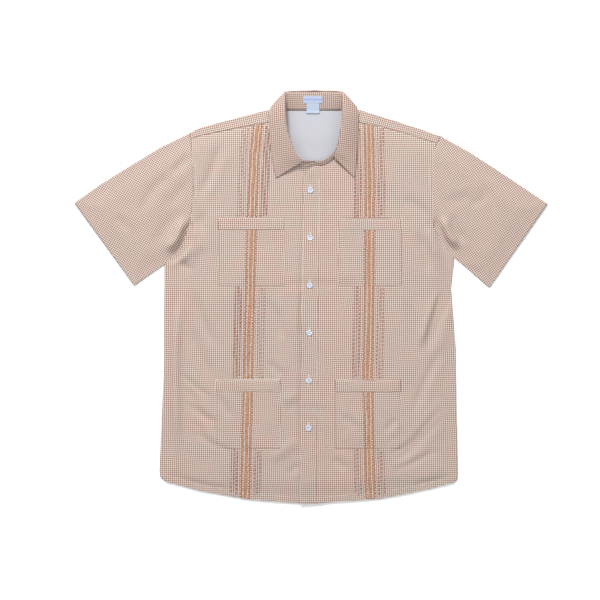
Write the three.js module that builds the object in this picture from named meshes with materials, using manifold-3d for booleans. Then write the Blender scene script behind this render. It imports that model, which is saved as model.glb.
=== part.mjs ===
// A short-sleeved guayabera shirt, buttoned and laid flat on its back with the collar open.
// Millimetres. +X is to the wearer's left, +Y to the collar and +Z up from the surface it lies on.
// The origin is on that surface, in the middle of the shirt's outline.
// Each cut piece of cloth is a wall of its own: a sheet over one shared grid of heights, trimmed
// to the piece's outline, or, for the collar, a strip through sections.

import * as THREE from "three";
import { mergeVertices } from "three/addons/utils/BufferGeometryUtils.js";
import Module from "manifold-3d";

const wasm = await Module();
wasm.setup();

// ---- Driving dimensions, in millimetres ----

const CLOTH = 1.2; // wall of one ply
const GAP = 0.3; // between neighbouring pieces
const LAYER = CLOTH + GAP;
const COLUMN = 20; // spacing of the shared height grid across the shirt
const ROW = 40; // and along it

const SWELL = 2; // how far the loose middle of the front stands off the back
const PRESSED_MARGIN = 70; // width over which the swell fades out to the shirt's edge
const MAX_RELIEF = 3.4; // the most that the front stands off the back

const NECK_X = 5.5; // the collar's middle lies a little to the wearer's left
const YOKE_SEAM_Y = 258; // between the yoke and the back
const NECK_RISE = LAYER + 0.3; // of the yoke, over the collar leaf folded under it
const NECK_RISE_HALF = 95;
const NECK_RISE_FADE = 55;
const NECK_RISE_FROM_Y = 280;
const NECK_RISE_TO_Y = 320;

const CENTRE_TOP = [-14.7, 232]; // the buttoned edge of the wearer's left front
const CENTRE_HEM = [-21.6, -405];
const PLACKET_WIDTH = 31;
const UNDERLAP_X = 13; // the wearer's right front ends here, under the placket
const LAP_X = 20; // the wearer's left front lies over the underlap up to here
const UNDERLAP_HEM = [UNDERLAP_X, -405];
const PLACKET_TOP = [0.6, 253]; // where its slanting neck edge turns level
const PLACKET_TOP_RIGHT_RISE = 25; // of its outer top corner over the buttoned edge
const PLACKET_HEM_RISE = 0.6;

const POCKET_BAND = 24;
const TUCK_RISE = 0.7;
const TUCK_WIDTH = 2.2;
const TUCK_OFFSETS = [-28.5, -23, -17.5, 17.5, 23, 28.5]; // from the embroidered line
const TUCK_TOP_Y = 333;
const TUCK_HEM_Y = -388;
const TUCK_CLEARANCE = 1.5;

const LEAF_CLEARANCE = TUCK_RISE + GAP + CLOTH / 2 + 0.3; // the leaf's middle above the front
const STAND_CLEARANCE = GAP + CLOTH / 2 + 0.2; // the stand's middle above its seam
const COLLAR_WALL_HALF = CLOTH / 2;
const LEAF_STEPS = 6;
const STAND_STEPS = 2;

const BUTTON_X = [-1.4, -5]; // of the top and bottom button
const BUTTON_Y = [208, -257];
const BUTTON_COUNT = 6;
const BUTTON_RADIUS = 5.6;
const BUTTON_THICK = 2.2;
const BUTTON_WELL = 0.5; // depth of the dished middle
const BUTTON_PROFILE = [
  // shares of the radius and of the thickness, from the middle of the underside round to the dish
  [0, 0],
  [0.82, 0],
  [1, 0.4],
  [0.93, 1],
  [0.7, 1],
];
const BUTTON_DISH = 0.5; // share of the radius
const BUTTON_HOLE_RADIUS = 0.7;
const BUTTON_HOLE_OFFSET = 1.3;
const BUTTON_SIDES = 16;
const HOLE_SIDES = 6;

const LABEL_WALL = 1;
const NECK_LABEL = { x: [-15, 22], y: [378.5, 392.5] };
const SIZE_LABEL = { x: [-9, 16.5], y: [359, 378.2] };
const ABOVE_ALL = 60; // heights that trimming prisms reach
const BELOW_ALL = -10;
const WELD = 1e-4; // points closer than this are one

const CHECK_COLOUR = 0xcdb6ac;
const COLLAR_COLOUR = 0xc2aba4;
const LABEL_COLOUR = 0xbdc5d9;
const PEARL_COLOUR = 0xeeeae4;
const CLOTH_ROUGHNESS = 0.9;
const PEARL_ROUGHNESS = 0.25;

// ---- Outlines of the laid shirt ----
// Lines run from the neck towards the cuff or the hem. sign is the side's direction along X.

const SIDES = {
  right: {
    sign: -1,
    shoulder: [[-60.5, 366], [-84, 365.5], [-139, 352], [-218, 331], [-237, 321]],
    overarm: [[-237, 321], [-296, 292], [-355, 256], [-414, 219], [-463.5, 184]],
    cuffEnd: [-346, 22],
    underarm: [-287, 64],
    armhole: [
      ...[[-237, 321], [-232, 275], [-230, 213], [-233, 171]],
      ...[[-240, 142], [-251, 100], [-263, 84], [-287, 64]],
    ],
    yokeSeam: [[-63.5, 344], [-139, 331], [-218, 315.5], [-235.6, 308]],
    side: [[-287, 64], [-288, -140], [-296.5, -340], [-295, -353], [-286, -361]],
    neck: [
      ...[[-63.5, 344], [-59, 326], [-52, 301], [-40.5, 280]],
      ...[[-28, 267.5], [-14, 262], [UNDERLAP_X, 262]],
    ],
    embroidery: [[-103, 345], [-116, 156], [-119, 13], [-123, -153], [-129, -400]],
  },
  left: {
    sign: 1,
    shoulder: [[71.5, 366], [95, 365.5], [135, 354], [194, 335], [255, 314]],
    overarm: [[255, 314], [312, 282], [370, 244.5], [429, 205], [463.5, 182]],
    cuffEnd: [349, 18],
    underarm: [281, 77],
    armhole: [
      ...[[255, 314], [239, 285], [237, 243], [238.5, 197]],
      ...[[241, 140], [251, 113], [262, 98], [281, 77]],
    ],
    yokeSeam: [[74.5, 344], [135, 333], [194, 317], [247, 300]],
    side: [[281, 77], [274, 17], [283, -100], [287.5, -340], [287, -357], [282, -362.5]],
    neck: [
      ...[[74.5, 344], [70.5, 326], [63.5, 302], [52, 281], [40, 269]],
      ...[[26, 262.5], [12, 257], PLACKET_TOP, CENTRE_TOP],
    ],
    embroidery: [[112, 345], [114.5, 160], [113.5, 13], [111, -153], [116, -400]],
  },
};

const HEM = [
  ...[[-286, -361], [-217.6, -379.7], [-119.6, -397], [-2, -405.2]],
  ...[[135, -395.4], [233, -375.8], [282, -362.5]],
];

const POCKETS = [
  { name: "chest_right", side: "right", x: [-181.5, -53], y: [22, 155] },
  { name: "lower_right", side: "right", x: [-187, -60], y: [-296.5, -161] },
  { name: "chest_left", side: "left", x: [53, 177.6], y: [22, 154] },
  { name: "lower_left", side: "left", x: [47.6, 175.4], y: [-296.5, -162] },
];

// ---- Folds of the top layer ----
// A fold runs from (x, y) to (toX, toY), bowed to its left by bow. lift is below zero for a trough.

const FOLDS = rows(
  ["x", "y", "toX", "toY", "bow", "width", "lift"],
  [
    [-265, 250, -341, 152, 8, 13, -1.6], // wearer's right sleeve
    [-233, 280, -283, 168, 4, 12, -1.4],
    [-236, 190, -320, 80, -6, 16, -1.8],
    [-174, 315, -224, 186, -8, 12, -1.6], // right chest, off the shoulder
    [-212, 176, -242, 84, -6, 13, -1.6],
    [-254, 34, -272, -330, 4, 13, -1.8], // right side, down to the hem
    [-234, 20, -182, -106, 4, 13, -1.5],
    [-242, -50, -192, -170, 4, 13, -1.2],
    [-86, 0, -55, -92, 6, 12, -1.2],
    [174, 198, 236, 146, -4, 12, -1.4], // wearer's left chest and side
    [208, 132, 234, 36, -4, 14, -1.6],
    [262, 42, 223, -108, 8, 13, -2],
    [184, 0, 218, -132, 0, 14, 1.2],
    [260, -90, 192, -244, 6, 14, -1.6],
    [264, -222, 148, -318, 14, 14, -1.8],
    [246, 176, 372, 206, 8, 14, -1.2], // left sleeve
    [258, 146, 300, 96, -4, 13, -1.4],
  ],
);

// ---- Sections of the collar ----
// From the centre front to the centre back of one half. x is outward from NECK_X.
// seat says what the section's free edge lies on: the front, the yoke's back or the surface.

const STAND_COLUMNS = ["seamX", "seamY", "topX", "topY", "topZ", "seat"];
const STAND_FRONT = {
  right: rows(STAND_COLUMNS, [
    [-2.5, 260.5, -2.5, 265.5, 12, "front"],
    [19.5, 260.5, 19.5, 265.5, 12.5, "front"],
    [34, 266, 30, 272, 13.5, "front"],
    [47, 278.5, 40, 290, 15.5, "front"],
  ]),
  left: rows(STAND_COLUMNS, [
    [11.5, 256.5, 11.5, 264, 12, "front"],
    [21, 261, 21, 268, 12, "front"],
    [35, 267.5, 36.5, 276.5, 12.5, "front"],
    [47.5, 279.5, 43.5, 290, 15.5, "front"],
  ]),
};
const STAND_BACK = rows(STAND_COLUMNS, [
  [59, 300, 51, 325, 18, "front"],
  [66, 326, 54, 350, 19, "front"],
  [69, 346, 54.5, 371, 17, "front"],
  [69, 361, 54.5, 387, 13, "front"],
  [58, 365, 54, 397, 8.5, "yoke"],
  [44, 365, 44, 401, 5.3, "yoke"],
  [22, 365, 22, 401.5, 4.8, "yoke"],
  [0, 365, 0, 401.5, 4.8, "yoke"],
]);

const LEAF_COLUMNS = ["foldX", "foldY", "foldZ", "rollX", "rollY", "rollZ", "edgeX", "edgeY", "seat"];
const LEAF_FRONT = {
  right: rows(LEAF_COLUMNS, [
    [19.5, 264, 14.5, 36, 256, 16, 74, 232, "front"],
    [24, 268, 15, 42, 262, 16.5, 77, 244, "front"],
    [32, 277, 16, 48, 272, 17.5, 80, 260, "front"],
    [41, 292, 18, 57, 289, 19, 84, 284, "front"],
  ]),
  left: rows(LEAF_COLUMNS, [
    [37, 276, 14.5, 48, 264, 15, 80, 232, "front"],
    [40.5, 280, 15.5, 54, 270, 16, 82, 246, "front"],
    [43.5, 285, 16.5, 58, 278, 17.5, 83, 262, "front"],
    [46.5, 295, 18, 60, 291, 19, 84.5, 284, "front"],
  ]),
};
const LEAF_BACK = rows(LEAF_COLUMNS, [
  [52.5, 327, 20.5, 67, 326, 21.5, 86, 312, "front"],
  [55, 352, 21.5, 69, 353, 21.5, 87, 338, "front"],
  [55.5, 373, 19.5, 69, 372, 19, 86.5, 355, "front"],
  [56, 389, 16, 69, 382, 15.5, 85.5, 364, "shoulder"],
  [57, 398, 12.5, 69, 389, 11.5, 84.5, 370, "shoulder"],
  [57.5, 402, 9.5, 70.5, 388, 6, 84, 371.5, "wrap"],
  [55, 404, 7, 68, 392, 0.8, 82, 369, "surface"],
  [48, 404, 6.4, 58, 410, 0.6, 73, 358, "surface"],
  [34, 403, 6, 36, 411.5, 0.6, 40, 357, "surface"],
  [0, 403, 6, 0, 412.2, 0.6, 0, 356, "surface"],
]);
const WRAP_Z = 3.2; // the leaf's edge where it turns round the shoulder fold
const SHOULDER_Z = 5.6; // the leaf's edge just in front of that fold

// ---- Helpers ----

function rows(names, table) {
  return table.map((values) => Object.fromEntries(names.map((name, i) => [name, values[i]])));
}

function smooth(share) {
  const t = THREE.MathUtils.clamp(share, 0, 1);
  return t * t * (3 - 2 * t);
}

// Moves a line sideways: away from the shirt's middle for a shoulder, overarm or armhole.
function moved(line, distance, sign) {
  return line.map((point, i) => {
    const before = line[Math.max(i - 1, 0)];
    const after = line[Math.min(i + 1, line.length - 1)];
    const along = new THREE.Vector2(after[0] - before[0], after[1] - before[1]).normalize();
    return [point[0] - sign * along.y * distance, point[1] + sign * along.x * distance];
  });
}

function lowered(line, distance) {
  return line.map(([x, y]) => [x, y - distance]);
}

function distanceTo(line, x, y) {
  let least = Infinity;
  for (let i = 1; i < line.length; i += 1) {
    const [ax, ay] = line[i - 1];
    const dx = line[i][0] - ax;
    const dy = line[i][1] - ay;
    const along = ((x - ax) * dx + (y - ay) * dy) / (dx * dx + dy * dy);
    const t = THREE.MathUtils.clamp(along, 0, 1);
    least = Math.min(least, Math.hypot(x - ax - t * dx, y - ay - t * dy));
  }
  return least;
}

// The x of a line at height y, for lines that run down the shirt.
function lineX(line, y) {
  const i = Math.max(line.findIndex((point) => point[1] <= y), 1);
  const [x0, y0] = line[i - 1];
  const [x1, y1] = line[i];
  return x0 + ((y - y0) * (x1 - x0)) / (y1 - y0);
}

// ---- Heights ----

function foldHeight(fold, x, y) {
  const dx = fold.toX - fold.x;
  const dy = fold.toY - fold.y;
  const length = Math.hypot(dx, dy);
  const along = ((x - fold.x) * dx + (y - fold.y) * dy) / (length * length);
  const bowed = fold.bow * 4 * along * (1 - along);
  const across = ((y - fold.y) * dx - (x - fold.x) * dy) / length - bowed;
  const ends = smooth(along * 4) * smooth((1 - along) * 4);
  return fold.lift * ends * Math.exp(-((across / fold.width) ** 2));
}

const EDGES = Object.values(SIDES).flatMap((side) => [
  side.shoulder,
  [...side.overarm, side.cuffEnd, side.underarm],
  side.side,
]);
EDGES.push(HEM);

// Underside of the back layer: on the surface, but over the folded leaf at the neck.
function backUnder(x, y) {
  const across = 1 - smooth((Math.abs(x - NECK_X) - NECK_RISE_HALF) / NECK_RISE_FADE);
  const along = smooth((y - NECK_RISE_FROM_Y) / (NECK_RISE_TO_Y - NECK_RISE_FROM_Y));
  return NECK_RISE * across * along;
}

// Underside of the top layer.
function frontUnder(x, y) {
  const edge = Math.min(...EDGES.map((line) => distanceTo(line, x, y)));
  const folds = FOLDS.reduce((sum, fold) => sum + foldHeight(fold, x, y), 0);
  const relief = SWELL * smooth(edge / PRESSED_MARGIN) + folds;
  return backUnder(x, y) + LAYER + THREE.MathUtils.clamp(relief, 0, MAX_RELIEF);
}

// The wearer's left front lies over the other front's underlap at the centre.
function lappedUnder(x, y) {
  return frontUnder(x, y) + LAYER * (1 - smooth((x - LAP_X) / COLUMN));
}

// A height read off the flat facets of the shared grid.
function onFacets(height, x, y) {
  const x0 = Math.floor(x / COLUMN) * COLUMN;
  const y0 = Math.floor(y / ROW) * ROW;
  const u = (x - x0) / COLUMN;
  const v = (y - y0) / ROW;
  const low = height(x0, y0);
  const far = height(x0 + COLUMN, y0 + ROW);
  if (u > v) {
    const side = height(x0 + COLUMN, y0);
    return low + u * (side - low) + v * (far - side);
  }
  const side = height(x0, y0 + ROW);
  return low + v * (side - low) + u * (far - side);
}

// ---- Solids ----

function solidOf(geometry) {
  const bare = geometry.index ? geometry.toNonIndexed() : geometry.clone();
  bare.deleteAttribute("normal");
  bare.deleteAttribute("uv");
  const merged = mergeVertices(bare, WELD);
  return new wasm.Manifold(
    new wasm.Mesh({
      numProp: 3,
      vertProperties: merged.getAttribute("position").array,
      triVerts: new Uint32Array(merged.index.array),
    }),
  );
}

function geometryOf(solid) {
  const mesh = solid.getMesh();
  const geometry = new THREE.BufferGeometry();
  geometry.setAttribute("position", new THREE.BufferAttribute(mesh.vertProperties, 3));
  geometry.setIndex(new THREE.BufferAttribute(mesh.triVerts, 1));
  const flat = geometry.toNonIndexed();
  flat.computeVertexNormals();
  return flat;
}

// A closed shell between two nets of points of the same size, upper over lower.
function shell(upper, lower) {
  const lines = upper.length;
  const steps = upper[0].length;
  const points = [...upper.flat(), ...lower.flat()];
  const below = lines * steps;
  const index = [];
  const quad = (a, b, c, d) => index.push(a, b, c, a, c, d);
  for (let i = 0; i < lines - 1; i += 1) {
    for (let j = 0; j < steps - 1; j += 1) {
      const a = i * steps + j;
      quad(a, a + steps, a + steps + 1, a + 1);
      quad(below + a, below + a + 1, below + a + steps + 1, below + a + steps);
    }
  }
  for (let j = 0; j < steps - 1; j += 1) {
    const last = (lines - 1) * steps + j;
    quad(j, j + 1, below + j + 1, below + j);
    quad(last + 1, last, below + last, below + last + 1);
  }
  for (let i = 0; i < lines - 1; i += 1) {
    const a = i * steps;
    const end = a + steps - 1;
    quad(a + steps, a, below + a, below + a + steps);
    quad(end, end + steps, below + end + steps, below + end);
  }
  const geometry = new THREE.BufferGeometry();
  const positions = points.flatMap((point) => [point.x, point.y, point.z]);
  geometry.setAttribute("position", new THREE.Float32BufferAttribute(positions, 3));
  geometry.setIndex(index);
  return solidOf(geometry);
}

function prism(outline, bottom = BELOW_ALL, top = ABOVE_ALL) {
  const shape = new THREE.Shape(outline.map(([x, y]) => new THREE.Vector2(x, y)));
  const geometry = new THREE.ExtrudeGeometry(shape, { depth: top - bottom, bevelEnabled: false });
  geometry.translate(0, 0, bottom);
  return solidOf(geometry);
}

// A wall between two heights of the shared grid, trimmed to an outline.
function sheet(outline, under, over) {
  const xs = outline.map((point) => point[0]);
  const ys = outline.map((point) => point[1]);
  const first = [Math.floor(Math.min(...xs) / COLUMN), Math.floor(Math.min(...ys) / ROW)];
  const last = [Math.ceil(Math.max(...xs) / COLUMN), Math.ceil(Math.max(...ys) / ROW)];
  const net = (height) => {
    const lines = [];
    for (let i = first[0]; i <= last[0]; i += 1) {
      const line = [];
      for (let j = first[1]; j <= last[1]; j += 1) {
        line.push(new THREE.Vector3(i * COLUMN, j * ROW, height(i * COLUMN, j * ROW)));
      }
      lines.push(line);
    }
    return lines;
  };
  return shell(net(over), net(under)).intersect(prism(outline));
}

function ply(outline, under) {
  return sheet(outline, under, (x, y) => under(x, y) + CLOTH);
}

// The folded or seamed edge of a tube of cloth, from the back layer up to the top one.
function edgeWall(line, inward, side) {
  const band = [...line, ...moved(line, inward, side.sign).reverse()];
  return sheet(band, backUnder, (x, y) => frontUnder(x, y) + CLOTH);
}

// ---- Panels ----

function armholeFrom(side, y) {
  return [[lineX(side.armhole, y), y], ...side.armhole.filter((point) => point[1] < y)];
}

function armholeDownTo(side, y) {
  return [...side.armhole.filter((point) => point[1] > y), [lineX(side.armhole, y), y]];
}

function back() {
  const down = (side) => [...armholeFrom(side, YOKE_SEAM_Y - GAP), ...side.side.slice(1)];
  const hem = HEM.slice(1, -1);
  return prism([...down(SIDES.right), ...hem, ...down(SIDES.left).reverse()], 0, CLOTH);
}

function yoke() {
  const top = (side) => [...side.shoulder.slice(0, -1), ...armholeDownTo(side, YOKE_SEAM_Y)];
  const plate = ply([...top(SIDES.right), ...top(SIDES.left).reverse()], backUnder);
  const strips = Object.values(SIDES).map((side) => {
    const outline = [...side.shoulder, ...[...side.yokeSeam].reverse()];
    const fold = edgeWall(side.shoulder, -CLOTH, side).intersect(prism(outline));
    return ply(outline, frontUnder).add(fold);
  });
  return strips.reduce((solid, strip) => solid.add(strip), plate);
}

function sleeve(side) {
  const armhole = moved(side.armhole, GAP, side.sign);
  const underarm = [side.underarm, side.cuffEnd];
  const outline = [...side.overarm.slice(1), side.cuffEnd, ...armhole.reverse()];
  const tube = prism(outline, 0, CLOTH)
    .add(ply(outline, frontUnder))
    .add(edgeWall(side.overarm, -CLOTH, side))
    .add(edgeWall(underarm, CLOTH, side));
  return tube.intersect(prism(outline));
}

function tucks(side, under) {
  const pockets = POCKETS.filter((pocket) => SIDES[pocket.side] === side);
  const [chest, lower] = pockets.map((pocket) => pocket.y);
  const stretches = [
    [TUCK_TOP_Y, chest[1] + TUCK_CLEARANCE],
    [chest[0] - TUCK_CLEARANCE, lower[1] + TUCK_CLEARANCE],
    [lower[0] - TUCK_CLEARANCE, TUCK_HEM_Y],
  ];
  return TUCK_OFFSETS.flatMap((offset) =>
    stretches.map(([from, to]) => {
      const start = lineX(side.embroidery, from) + offset;
      const end = lineX(side.embroidery, to) + offset;
      const half = TUCK_WIDTH / 2;
      const inner = [[start - half, from], [end - half, to]];
      const outline = [...inner, [end + half, to], [start + half, from]];
      const low = (x, y) => under(x, y) + CLOTH / 2;
      return sheet(outline, low, (x, y) => under(x, y) + CLOTH + TUCK_RISE);
    }),
  );
}

function front(side, under, centre) {
  const seam = lowered(side.yokeSeam, GAP);
  const armhole = armholeFrom(side, seam.at(-1)[1]);
  const hem = side.sign < 0 ? HEM.slice(1) : HEM.slice(0, -1).reverse();
  const hemPoints = hem.filter(([x]) => (x - centre[0]) * side.sign > 0);
  const neck = lowered(side.neck, GAP).slice(1).reverse();
  const lower = [...side.side.slice(1), ...hemPoints, centre];
  const outline = [...seam, ...armhole.slice(1), ...lower, ...neck];
  const trim = prism(outline);
  const panel = ply(outline, under);
  return tucks(side, under).reduce((solid, tuck) => solid.add(tuck.intersect(trim)), panel);
}

// ---- Pieces laid on the fronts ----

function raised(under, plies) {
  return (x, y) => under(x, y) + plies * LAYER;
}

function rectangle([x0, x1], [y0, y1]) {
  return [[x0, y0], [x1, y0], [x1, y1], [x0, y1]];
}

function placket() {
  const [topX, topY] = CENTRE_TOP;
  const [hemX, hemY] = CENTRE_HEM;
  const outline = [
    [topX, topY],
    [hemX, hemY],
    [hemX + PLACKET_WIDTH, hemY + PLACKET_HEM_RISE],
    [topX + PLACKET_WIDTH, topY + PLACKET_TOP_RIGHT_RISE],
    PLACKET_TOP,
  ];
  return ply(outline, raised(lappedUnder, 1));
}

function button(number) {
  const share = number / (BUTTON_COUNT - 1);
  const x = THREE.MathUtils.lerp(BUTTON_X[0], BUTTON_X[1], share);
  const y = THREE.MathUtils.lerp(BUTTON_Y[0], BUTTON_Y[1], share);
  const shares = ([r, z]) => new THREE.Vector2(r * BUTTON_RADIUS, z * BUTTON_THICK);
  const dish = [BUTTON_DISH, 0].map(
    (r) => new THREE.Vector2(r * BUTTON_RADIUS, BUTTON_THICK - BUTTON_WELL),
  );
  const profile = [...BUTTON_PROFILE.map(shares), ...dish];
  const disc = new THREE.LatheGeometry(profile, BUTTON_SIDES).rotateX(Math.PI / 2);
  const corners = [[-1, -1], [-1, 1], [1, -1], [1, 1]];
  let solid = solidOf(disc);
  for (const [i, j] of corners) {
    const depth = BUTTON_THICK * 3;
    const hole = new THREE.CylinderGeometry(BUTTON_HOLE_RADIUS, BUTTON_HOLE_RADIUS, depth, HOLE_SIDES);
    hole.rotateX(Math.PI / 2).translate(i * BUTTON_HOLE_OFFSET, j * BUTTON_HOLE_OFFSET, 0);
    solid = solid.subtract(solidOf(hole));
  }
  const under = raised(lappedUnder, 2);
  const heights = [...corners, [0, 0]].map(([i, j]) =>
    onFacets(under, x + i * BUTTON_RADIUS, y + j * BUTTON_RADIUS),
  );
  return { solid, place: [x, y, Math.max(...heights) + GAP] };
}

// ---- Collar ----

function seatHeight(seat, side, x, y) {
  const under = side.sign > 0 ? lappedUnder : frontUnder;
  if (seat === "front") return onFacets(under, x, y) + CLOTH;
  if (seat === "yoke") return onFacets(backUnder, x, y) + CLOTH;
  return 0;
}

function standLine(side, row) {
  const seamX = NECK_X + side.sign * row.seamX;
  const topX = NECK_X + side.sign * row.topX;
  const seamZ = seatHeight(row.seat, side, seamX, row.seamY) + STAND_CLEARANCE;
  const seam = new THREE.Vector3(seamX, row.seamY, seamZ);
  const top = new THREE.Vector3(topX, row.topY, row.topZ);
  return evenly(STAND_STEPS, (t) => seam.clone().lerp(top, t));
}

function leafLine(side, row) {
  const edgeX = NECK_X + side.sign * row.edgeX;
  const edgeZ = {
    front: () => seatHeight("front", side, edgeX, row.edgeY) + LEAF_CLEARANCE,
    shoulder: () => SHOULDER_Z,
    wrap: () => WRAP_Z,
    surface: () => COLLAR_WALL_HALF,
  }[row.seat]();
  const fall = new THREE.QuadraticBezierCurve3(
    new THREE.Vector3(NECK_X + side.sign * row.foldX, row.foldY, row.foldZ),
    new THREE.Vector3(NECK_X + side.sign * row.rollX, row.rollY, row.rollZ),
    new THREE.Vector3(edgeX, row.edgeY, edgeZ),
  );
  return evenly(LEAF_STEPS, (t) => fall.getPoint(t));
}

function evenly(steps, pointAt) {
  return Array.from({ length: steps + 1 }, (_, i) => pointAt(i / steps));
}

// A wall half a ply to either side of a net of points, offset square to the net.
function thickened(net) {
  const offset = (amount) =>
    net.map((line, i) =>
      line.map((point, j) => {
        const along = net[Math.min(i + 1, net.length - 1)][j].clone().sub(net[Math.max(i - 1, 0)][j]);
        const across = line[Math.min(j + 1, line.length - 1)].clone().sub(line[Math.max(j - 1, 0)]);
        return point.clone().addScaledVector(along.cross(across).normalize(), amount);
      }),
    );
  return shell(offset(COLLAR_WALL_HALF), offset(-COLLAR_WALL_HALF));
}

function collarStrip(front, back, lineOf) {
  const right = [...front.right, ...back].map((row) => lineOf(SIDES.right, row));
  const left = [...front.left, ...back.slice(0, -1)].map((row) => lineOf(SIDES.left, row));
  return thickened([...right, ...left.reverse()]);
}

// ---- Labels, on the inside of the stand and hanging over the neck seam ----

function label({ x, y }) {
  const inner = standLine(SIDES.left, STAND_BACK.at(-1));
  const seam = inner[0];
  const top = inner.at(-1);
  const slope = (top.z - seam.z) / (top.y - seam.y);
  const plate = new THREE.BoxGeometry(x[1] - x[0], y[1] - y[0], LABEL_WALL);
  const middleY = (y[0] + y[1]) / 2;
  plate.rotateX(Math.atan(slope));
  const z = seam.z + slope * (middleY - seam.y) + COLLAR_WALL_HALF + GAP + LABEL_WALL / 2;
  plate.translate((x[0] + x[1]) / 2, middleY, z);
  return solidOf(plate);
}

// ---- The shirt ----

function finish(color, roughness) {
  return new THREE.MeshStandardMaterial({ color, roughness, metalness: 0 });
}

const cloth = (colour) => finish(colour, CLOTH_ROUGHNESS);

const shirt = new THREE.Group();

function piece(name, solid, material) {
  const mesh = new THREE.Mesh(geometryOf(solid), material);
  mesh.name = name;
  shirt.add(mesh);
  return mesh;
}

piece("back_panel", back(), cloth(CHECK_COLOUR));
piece("back_yoke", yoke(), cloth(CHECK_COLOUR));
piece("front_right", front(SIDES.right, frontUnder, UNDERLAP_HEM), cloth(CHECK_COLOUR));
piece("front_left", front(SIDES.left, lappedUnder, CENTRE_HEM), cloth(CHECK_COLOUR));
piece("placket", placket(), cloth(CHECK_COLOUR));
for (const [name, side] of Object.entries(SIDES)) {
  piece(`sleeve_${name}`, sleeve(side), cloth(CHECK_COLOUR));
}
piece("collar_stand", collarStrip(STAND_FRONT, STAND_BACK, standLine), cloth(COLLAR_COLOUR));
piece("collar_leaf", collarStrip(LEAF_FRONT, LEAF_BACK, leafLine), cloth(COLLAR_COLOUR));
for (const { name, side, x, y } of POCKETS) {
  const band = [y[1] - POCKET_BAND, y[1]];
  const under = side === "left" ? lappedUnder : frontUnder;
  piece(`pocket_${name}`, ply(rectangle(x, y), raised(under, 1)), cloth(CHECK_COLOUR));
  piece(`pocket_band_${name}`, ply(rectangle(x, band), raised(under, 2)), cloth(CHECK_COLOUR));
}
for (let i = 0; i < BUTTON_COUNT; i += 1) {
  const { solid, place } = button(i);
  piece(`button_${i + 1}`, solid, finish(PEARL_COLOUR, PEARL_ROUGHNESS)).position.set(...place);
}
piece("neck_label", label(NECK_LABEL), cloth(LABEL_COLOUR));
piece("size_label", label(SIZE_LABEL), cloth(LABEL_COLOUR));

export default shirt;
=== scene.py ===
"""A short-sleeved guayabera shirt, buttoned and laid flat on its back with the collar open.

Everything here is worked out in millimetres in the part's own frame and turned into metres where a
mesh is made. +X is to the wearer's left, +Y to the collar, +Z up, and "right" and "left" are the
wearer's. Each cut piece of cloth is a thin closed shell over the form of its CAD solid, with its
folds.
"""

import math

import bpy
import numpy as np
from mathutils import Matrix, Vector
from mathutils.geometry import delaunay_2d_cdt


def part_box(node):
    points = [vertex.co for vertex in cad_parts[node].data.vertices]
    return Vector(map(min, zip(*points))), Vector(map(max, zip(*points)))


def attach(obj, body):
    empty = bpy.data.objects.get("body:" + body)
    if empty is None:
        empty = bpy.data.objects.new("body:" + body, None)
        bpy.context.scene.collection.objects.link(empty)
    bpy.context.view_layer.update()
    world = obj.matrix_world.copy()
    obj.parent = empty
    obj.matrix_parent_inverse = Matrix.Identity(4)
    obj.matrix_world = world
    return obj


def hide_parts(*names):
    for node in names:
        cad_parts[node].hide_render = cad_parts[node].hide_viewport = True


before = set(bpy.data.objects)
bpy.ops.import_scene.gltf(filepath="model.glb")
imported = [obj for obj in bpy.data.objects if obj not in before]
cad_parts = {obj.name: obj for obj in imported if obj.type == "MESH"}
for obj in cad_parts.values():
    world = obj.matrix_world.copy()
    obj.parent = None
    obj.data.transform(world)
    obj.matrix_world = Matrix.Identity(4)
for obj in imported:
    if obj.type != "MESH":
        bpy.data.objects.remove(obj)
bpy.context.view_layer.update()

MM = 0.001
PLY = 0.5  # one thickness of the poplin
COLLAR_PLY = 1.0  # the collar is two plies and an interlining
LAYER = 1.15  # from one loose layer of cloth to the next one on it
PATCH = 0.6  # the same for a pocket or a band, sewn down flat

# ---- Outlines of the laid shirt, from the neck towards the cuff or the hem ----

NECK_X = 5.5
CENTRE_TOP = (-14.7, 232)
CENTRE_HEM = (-21.6, -405)
PLACKET_WIDTH = 31
PLACKET_TOP = (0.6, 253)
UNDERLAP_X = 13
YOKE_SEAM_Y = 258
NECK_SEAM_Y = 365  # where the stand is sewn to the yoke behind the neck
HEM = [(-286, -361), (-217.6, -379.7), (-119.6, -397), (-2, -405.2)]
HEM += [(135, -395.4), (233, -375.8), (282, -362.5)]

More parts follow.
